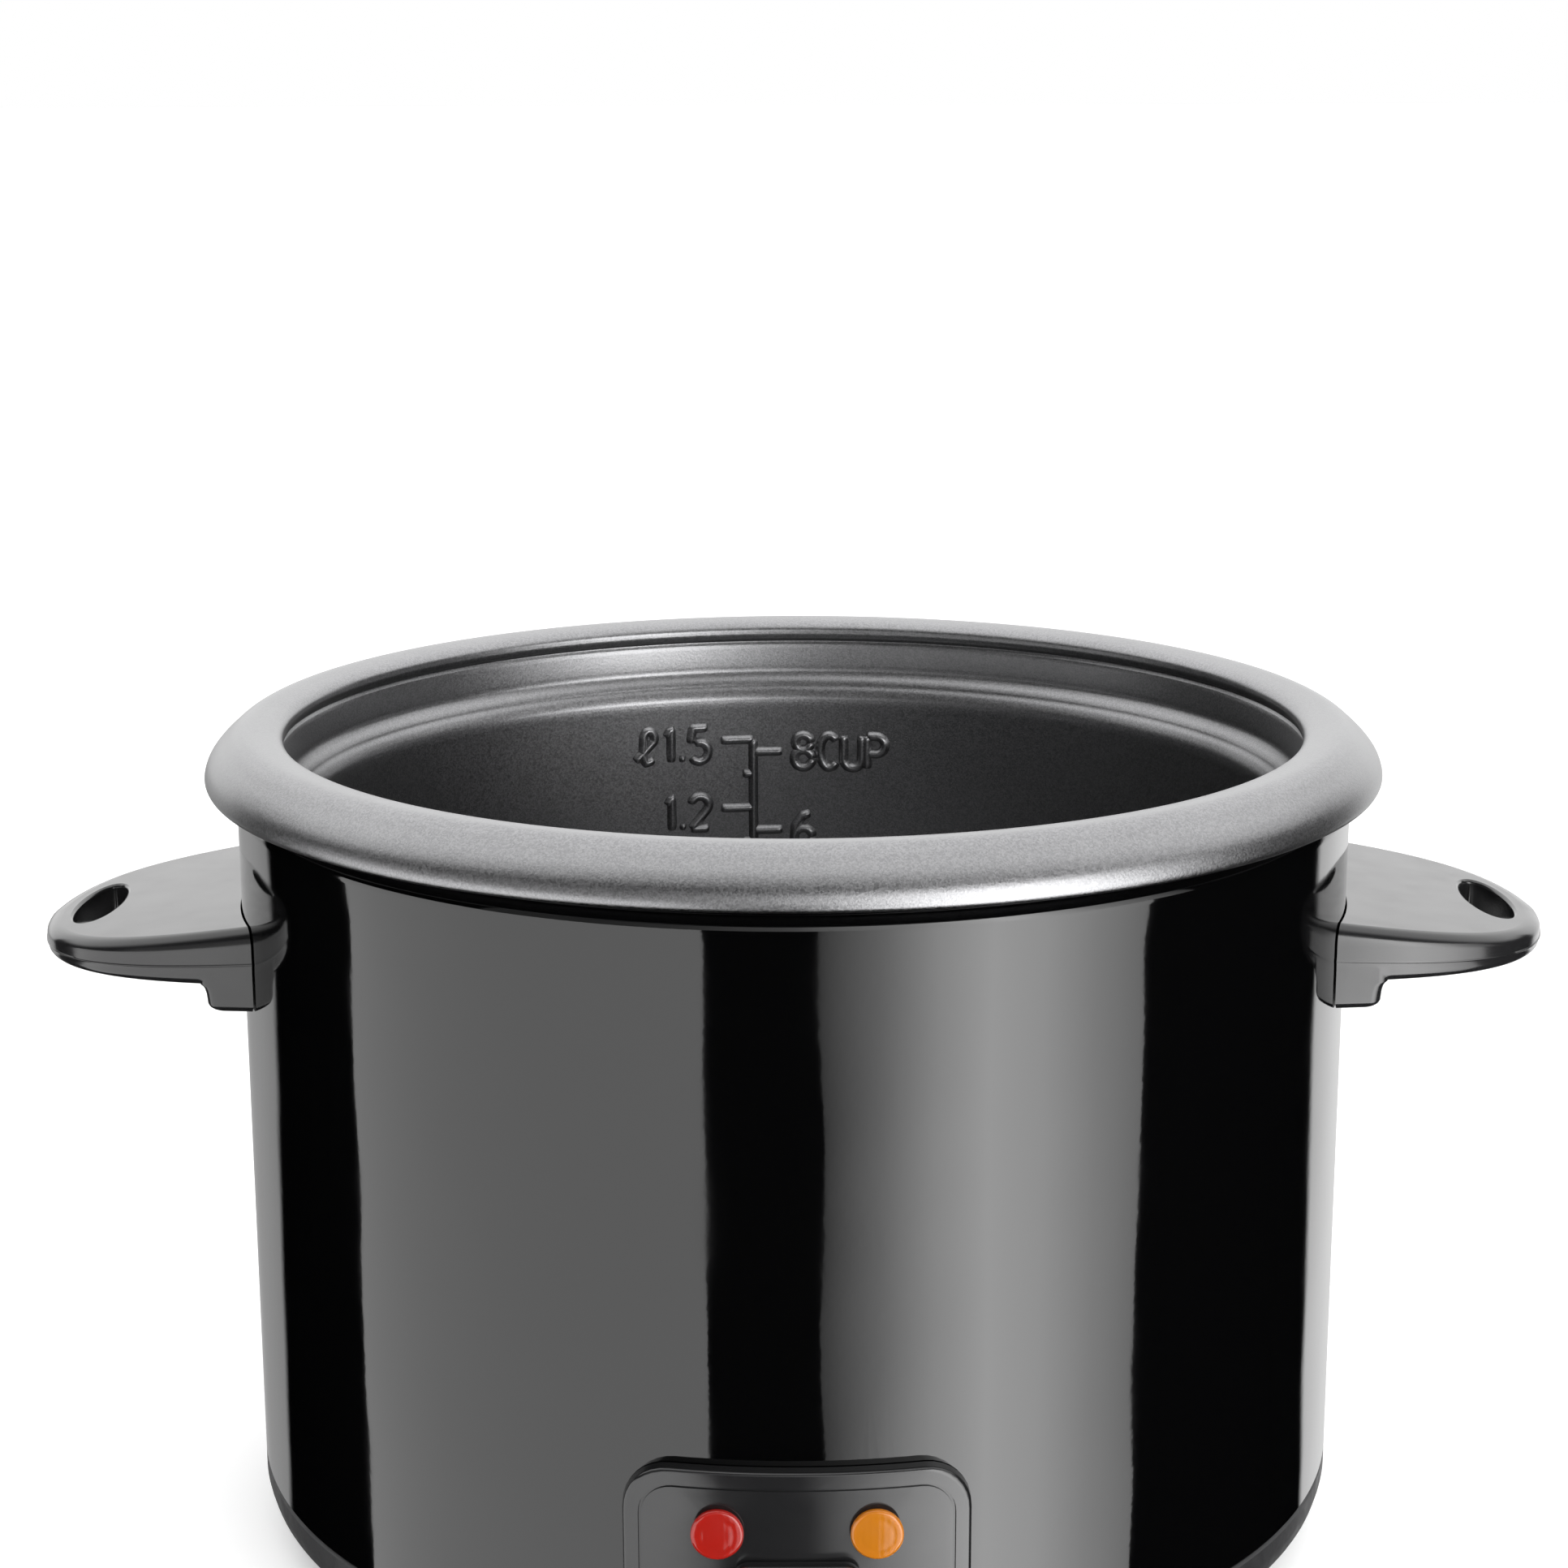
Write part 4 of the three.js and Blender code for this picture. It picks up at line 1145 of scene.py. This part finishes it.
def make_key():
    low, high = KEY_LOW / MM, KEY_HIGH / MM
    middle = (low.z + high.z) / 2
    face, back = low.y, low.y + 3.0
    rows = [(-2.0, back), (-0.3, back), (0.0, back - 0.3), (0.0, face + 1.0), (-0.12, face + 0.6)]
    rows += [(-0.4, face + 0.25), (-0.8, face + 0.06), (-1.3, face + 0.02)]
    rows += [(-3.5, face + 0.3), (-5.0, face + 0.45)]
    paddle = stepped("paddle", 24, 12, 2.0, middle, rows, 50)
    ribs = []
    for z in (middle - 2, middle, middle + 2):
        ribs.append(block((-7, face + 0.02, z - 0.45), (7, face + 1.2, z + 0.45), 0.35))
    neck = block((-5, -123.5, 30.5), (5, -110, 37), 0.6)
    key = join("key_paddle", [paddle, neck, *ribs])
    stand_for(key, "cook_switch_arm", "switch_key")


def make_lenses():
    for (x, _, z), lamp in zip(LENS_MIDDLES, ("cook", "warm")):
        front = 123.8
        rim = [(5.0, front - 1.2), (5.0, front - 0.6), (4.75, front - 0.3), (4.4, front - 0.15)]
        dome = [(3.6, front - 0.25), (2.8, front - 0.1), (1.6, front - 0.02), (0, front)]
        profile = [(0, 113.0), (3.9, 113.0), (3.9, front - 1.2)] + rim + dome
        lens_piece = lathe(f"{lamp}_lens", profile, 48, 50)
        turn(lens_piece, Matrix.Rotation(math.pi / 2, 4, "X"))
        shift(lens_piece, x, 0, z)
        stand_for(lens_piece, "root", f"{lamp}_lamp_lens")


def make_inlet():
    z = INLET_Z
    socket = curved_plate("socket", 48, 26, 5, z, DRUM_CLEAR_R, 123.4, 0.9, back=True)
    boolean(socket, block((-13.4, 104, z - 9.9), (13.4, 121.5, z + 9.9), 0.8), "UNION")
    rows = [(0.0, 108.0), (0.0, 121.6), (0.35, 122.4), (1.1, 123.1), (4.0, 126.0)]
    boolean(socket, stepped("cut", 22, 15, 3.0, z, rows))
    for x in (-INLET_SCREW_X, INLET_SCREW_X):
        boolean(socket, rod_y(1.9, 110, 130, x, z, 32))
    socket.name = "inlet_socket"
    even_shading(socket)
    stand_for(socket, "root", "power_inlet")


def make_inlet_screws():
    """Pan heads with a cross slot."""
    for i, x in enumerate((-INLET_SCREW_X, INLET_SCREW_X)):
        z = INLET_Z
        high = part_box(f"inlet_screw_{i + 1}")[1].y / MM
        profile = [(0, 119.0), (1.5, 119.0), (1.5, high - 1.6), (3.0, high - 1.6), (2.95, high - 0.9)]
        profile += [(2.5, high - 0.35), (1.6, high - 0.06), (0, high)]
        screw = lathe("screw", profile, 40, 40)
        stand_at_back(screw, x, z)
        for dx, dz in ((1.7, 0.3), (0.3, 1.7)):
            boolean(screw, block((x - dx, high - 0.8, z - dz), (x + dx, high + 1, z + dz)))
        screw.name = f"inlet_screw_{i + 1}_head"
        stand_for(screw, "root", f"inlet_screw_{i + 1}")


# ------------ carried-over CAD nodes


def finish_cad_nodes():
    """Gives the CAD nodes that stay their material, and a small bevel where they have hard edges."""
    for name, obj in frame["nodes"].items():
        if name in STOOD_FOR:
            continue
        obj.data.materials.clear()
        obj.data.materials.append(MATERIALS[SLOT_OF[name]])
        if name.startswith("wire_") or name.startswith("heating_element"):
            for face in obj.data.polygons:
                face.use_smooth = True
            continue
        bevel = obj.modifiers.new("edges", "BEVEL")
        bevel.width = 0.2 * MM
        bevel.segments = 2
        bevel.limit_method = "ANGLE"
        bevel.angle_limit = math.radians(40)


# ------------ stage, light and camera

BEHIND_LIGHT = 1.6
BEHIND_LOW_LEFT = 0.9
BEHIND_LOW_DIM = 0.5
BEHIND_LOW_RIGHT = 1.3
ABOVE_LIGHT = 1.95
AMBIENT_LIGHT = 0.02
FLOOR_GLOW = 0.3
LEFT_BOX = [2.1, 2.35]
RIGHT_BOX = [0.77, 2.7, 5.2, 7.0, 6.0, 4.0, 2.5]
HIGH_BOX = [0.3, 0.3, 0.5, 1.0, 3.5, 8.0, 2.8, 0.5]


def softbox(name, az_low, az_high, strengths, radius=1.3, z_low=-1.1, z_high=0.42, steps=48):
    """A curved bank of light. Azimuths are in degrees from the front, positive to the right.
    strengths runs evenly across it, with a smooth change from each to the next."""
    bm = bmesh.new()
    level = bm.verts.layers.float.new("level")
    columns = []
    for i in range(steps + 1):
        t = i / steps
        place = t * (len(strengths) - 1)
        k = min(int(place), len(strengths) - 2)
        strength = strengths[k] + (strengths[k + 1] - strengths[k]) * (place - k)
        angle = math.radians(az_low + (az_high - az_low) * t)
        x, y = radius * math.sin(angle), -radius * math.cos(angle)
        column = [bm.verts.new((x, y, z)) for z in (z_low, z_high)]
        for vert in column:
            vert[level] = strength
        columns.append(column)
    for first, second in zip(columns, columns[1:]):
        bm.faces.new((first[0], second[0], second[1], first[1]))
    bank = new_object(name, bm)
    material = bpy.data.materials.new(name)
    material.use_nodes = True
    tree = material.node_tree
    tree.nodes.clear()
    attribute = add_node(tree, "ShaderNodeAttribute", attribute_name="level")
    emit = add_node(tree, "ShaderNodeEmission", {"Strength": attribute.outputs["Fac"]})
    add_node(tree, "ShaderNodeOutputMaterial", {"Surface": emit.outputs[0]})
    bank.data.materials.append(material)
    bank.visible_camera = False
    bank.visible_shadow = False
    bank.visible_transmission = False


def make_floor():
    bm = bmesh.new()
    size = 40.0
    for x, y in ((-size, -size), (size, -size), (size, size), (-size, size)):
        bm.verts.new((x, y, 0))
    bm.faces.new(bm.verts[:])
    floor = new_object("floor", bm)
    n = Nodes("pale_floor", (0.9, 0.9, 0.9), 0.9)
    n.feed("Base Color", n.mix(n.noise(3.0), (0.89, 0.89, 0.89), (0.91, 0.91, 0.91)))
    n.shader.inputs["Emission Color"].default_value = (1.0, 1.0, 1.0, 1.0)
    n.shader.inputs["Emission Strength"].default_value = FLOOR_GLOW
    floor.data.materials.append(n.material)
    floor.visible_glossy = False


def make_world():
    """White to the camera. Otherwise bright behind and above, and dark in front."""
    world = bpy.data.worlds.new("studio")
    bpy.context.scene.world = world
    world.use_nodes = True
    tree = world.node_tree
    tree.nodes.clear()

    def node(kind, inputs=None, **settings):
        return add_node(tree, kind, inputs, **settings)

    def work_out(operation, *values):
        return node("ShaderNodeMath", dict(enumerate(values)), operation=operation).outputs[0]

    def ramp(value, start, stop, low, high):
        return map_range(tree, value, start, stop, low, high, interpolation_type="SMOOTHSTEP")

    direction = node("ShaderNodeTexCoord").outputs["Generated"]
    x, y, z = node("ShaderNodeSeparateXYZ", {0: direction}).outputs
    low_left = ramp(x, -0.75, -0.3, BEHIND_LOW_LEFT, BEHIND_LOW_DIM)
    low_right = ramp(x, 0.0, 0.75, 0.0, BEHIND_LOW_RIGHT)
    low_light = work_out("ADD", low_left, low_right)
    high = ramp(z, -0.12, 0.06, 0.0, 1.0)
    backdrop = node("ShaderNodeMix", {0: high, 2: low_light, 3: BEHIND_LIGHT}).outputs[0]
    behind = work_out("MULTIPLY", backdrop, ramp(y, 0.64, 0.68, 0.0, 1.0))
    lean = work_out("MULTIPLY_ADD", y, 0.8, z)
    overhead = ramp(lean, 0.3, 0.8, AMBIENT_LIGHT, ABOVE_LIGHT)
    above = work_out("MULTIPLY", overhead, ramp(z, 0.25, 0.5, 0.0, 1.0))
    total = work_out("MAXIMUM", behind, above)
    lit = node("ShaderNodeBackground", {"Color": (1, 1, 1, 1), "Strength": total})
    white = node("ShaderNodeBackground", {"Color": (1, 1, 1, 1), "Strength": 1.0})
    seen = node("ShaderNodeLightPath").outputs["Is Camera Ray"]
    mixed = node("ShaderNodeMixShader", {0: seen, 1: lit.outputs[0], 2: white.outputs[0]})
    node("ShaderNodeOutputWorld", {"Surface": mixed.outputs[0]})


def make_camera():
    data = bpy.data.cameras.new("camera")
    data.lens = CAMERA_LENS
    data.sensor_width = CAMERA_SENSOR
    data.dof.use_dof = False
    camera = bpy.data.objects.new("camera", data)
    bpy.context.scene.collection.objects.link(camera)
    camera.location = (CAMERA_X, -CAMERA_BACK, CREST_Z + CAMERA_UP)
    tilt = Matrix.Rotation(math.pi / 2 - CAMERA_PITCH, 4, "X")
    roll = Matrix.Rotation(CAMERA_ROLL, 4, "Z")
    camera.rotation_euler = (tilt @ roll).to_euler()
    bpy.context.scene.camera = camera


make_pot()
make_level_marks()
make_casing()
make_base()
make_feet()
make_liner()
make_plate()
make_sensor_cap()
make_springs()
make_handles()
make_panel()
make_key()
make_lenses()
make_inlet()
make_inlet_screws()
finish_cad_nodes()

make_floor()
make_world()
softbox("left_bank", -95.5, -17, LEFT_BOX, z_high=0.3)
softbox("right_bank", 5, 69.5, RIGHT_BOX)
softbox("high_bank", -60, 80, HIGH_BOX, z_low=0.28, z_high=0.85)
make_camera()

bpy.context.scene.view_settings.view_transform = "Standard"
bpy.context.scene.view_settings.look = "None"
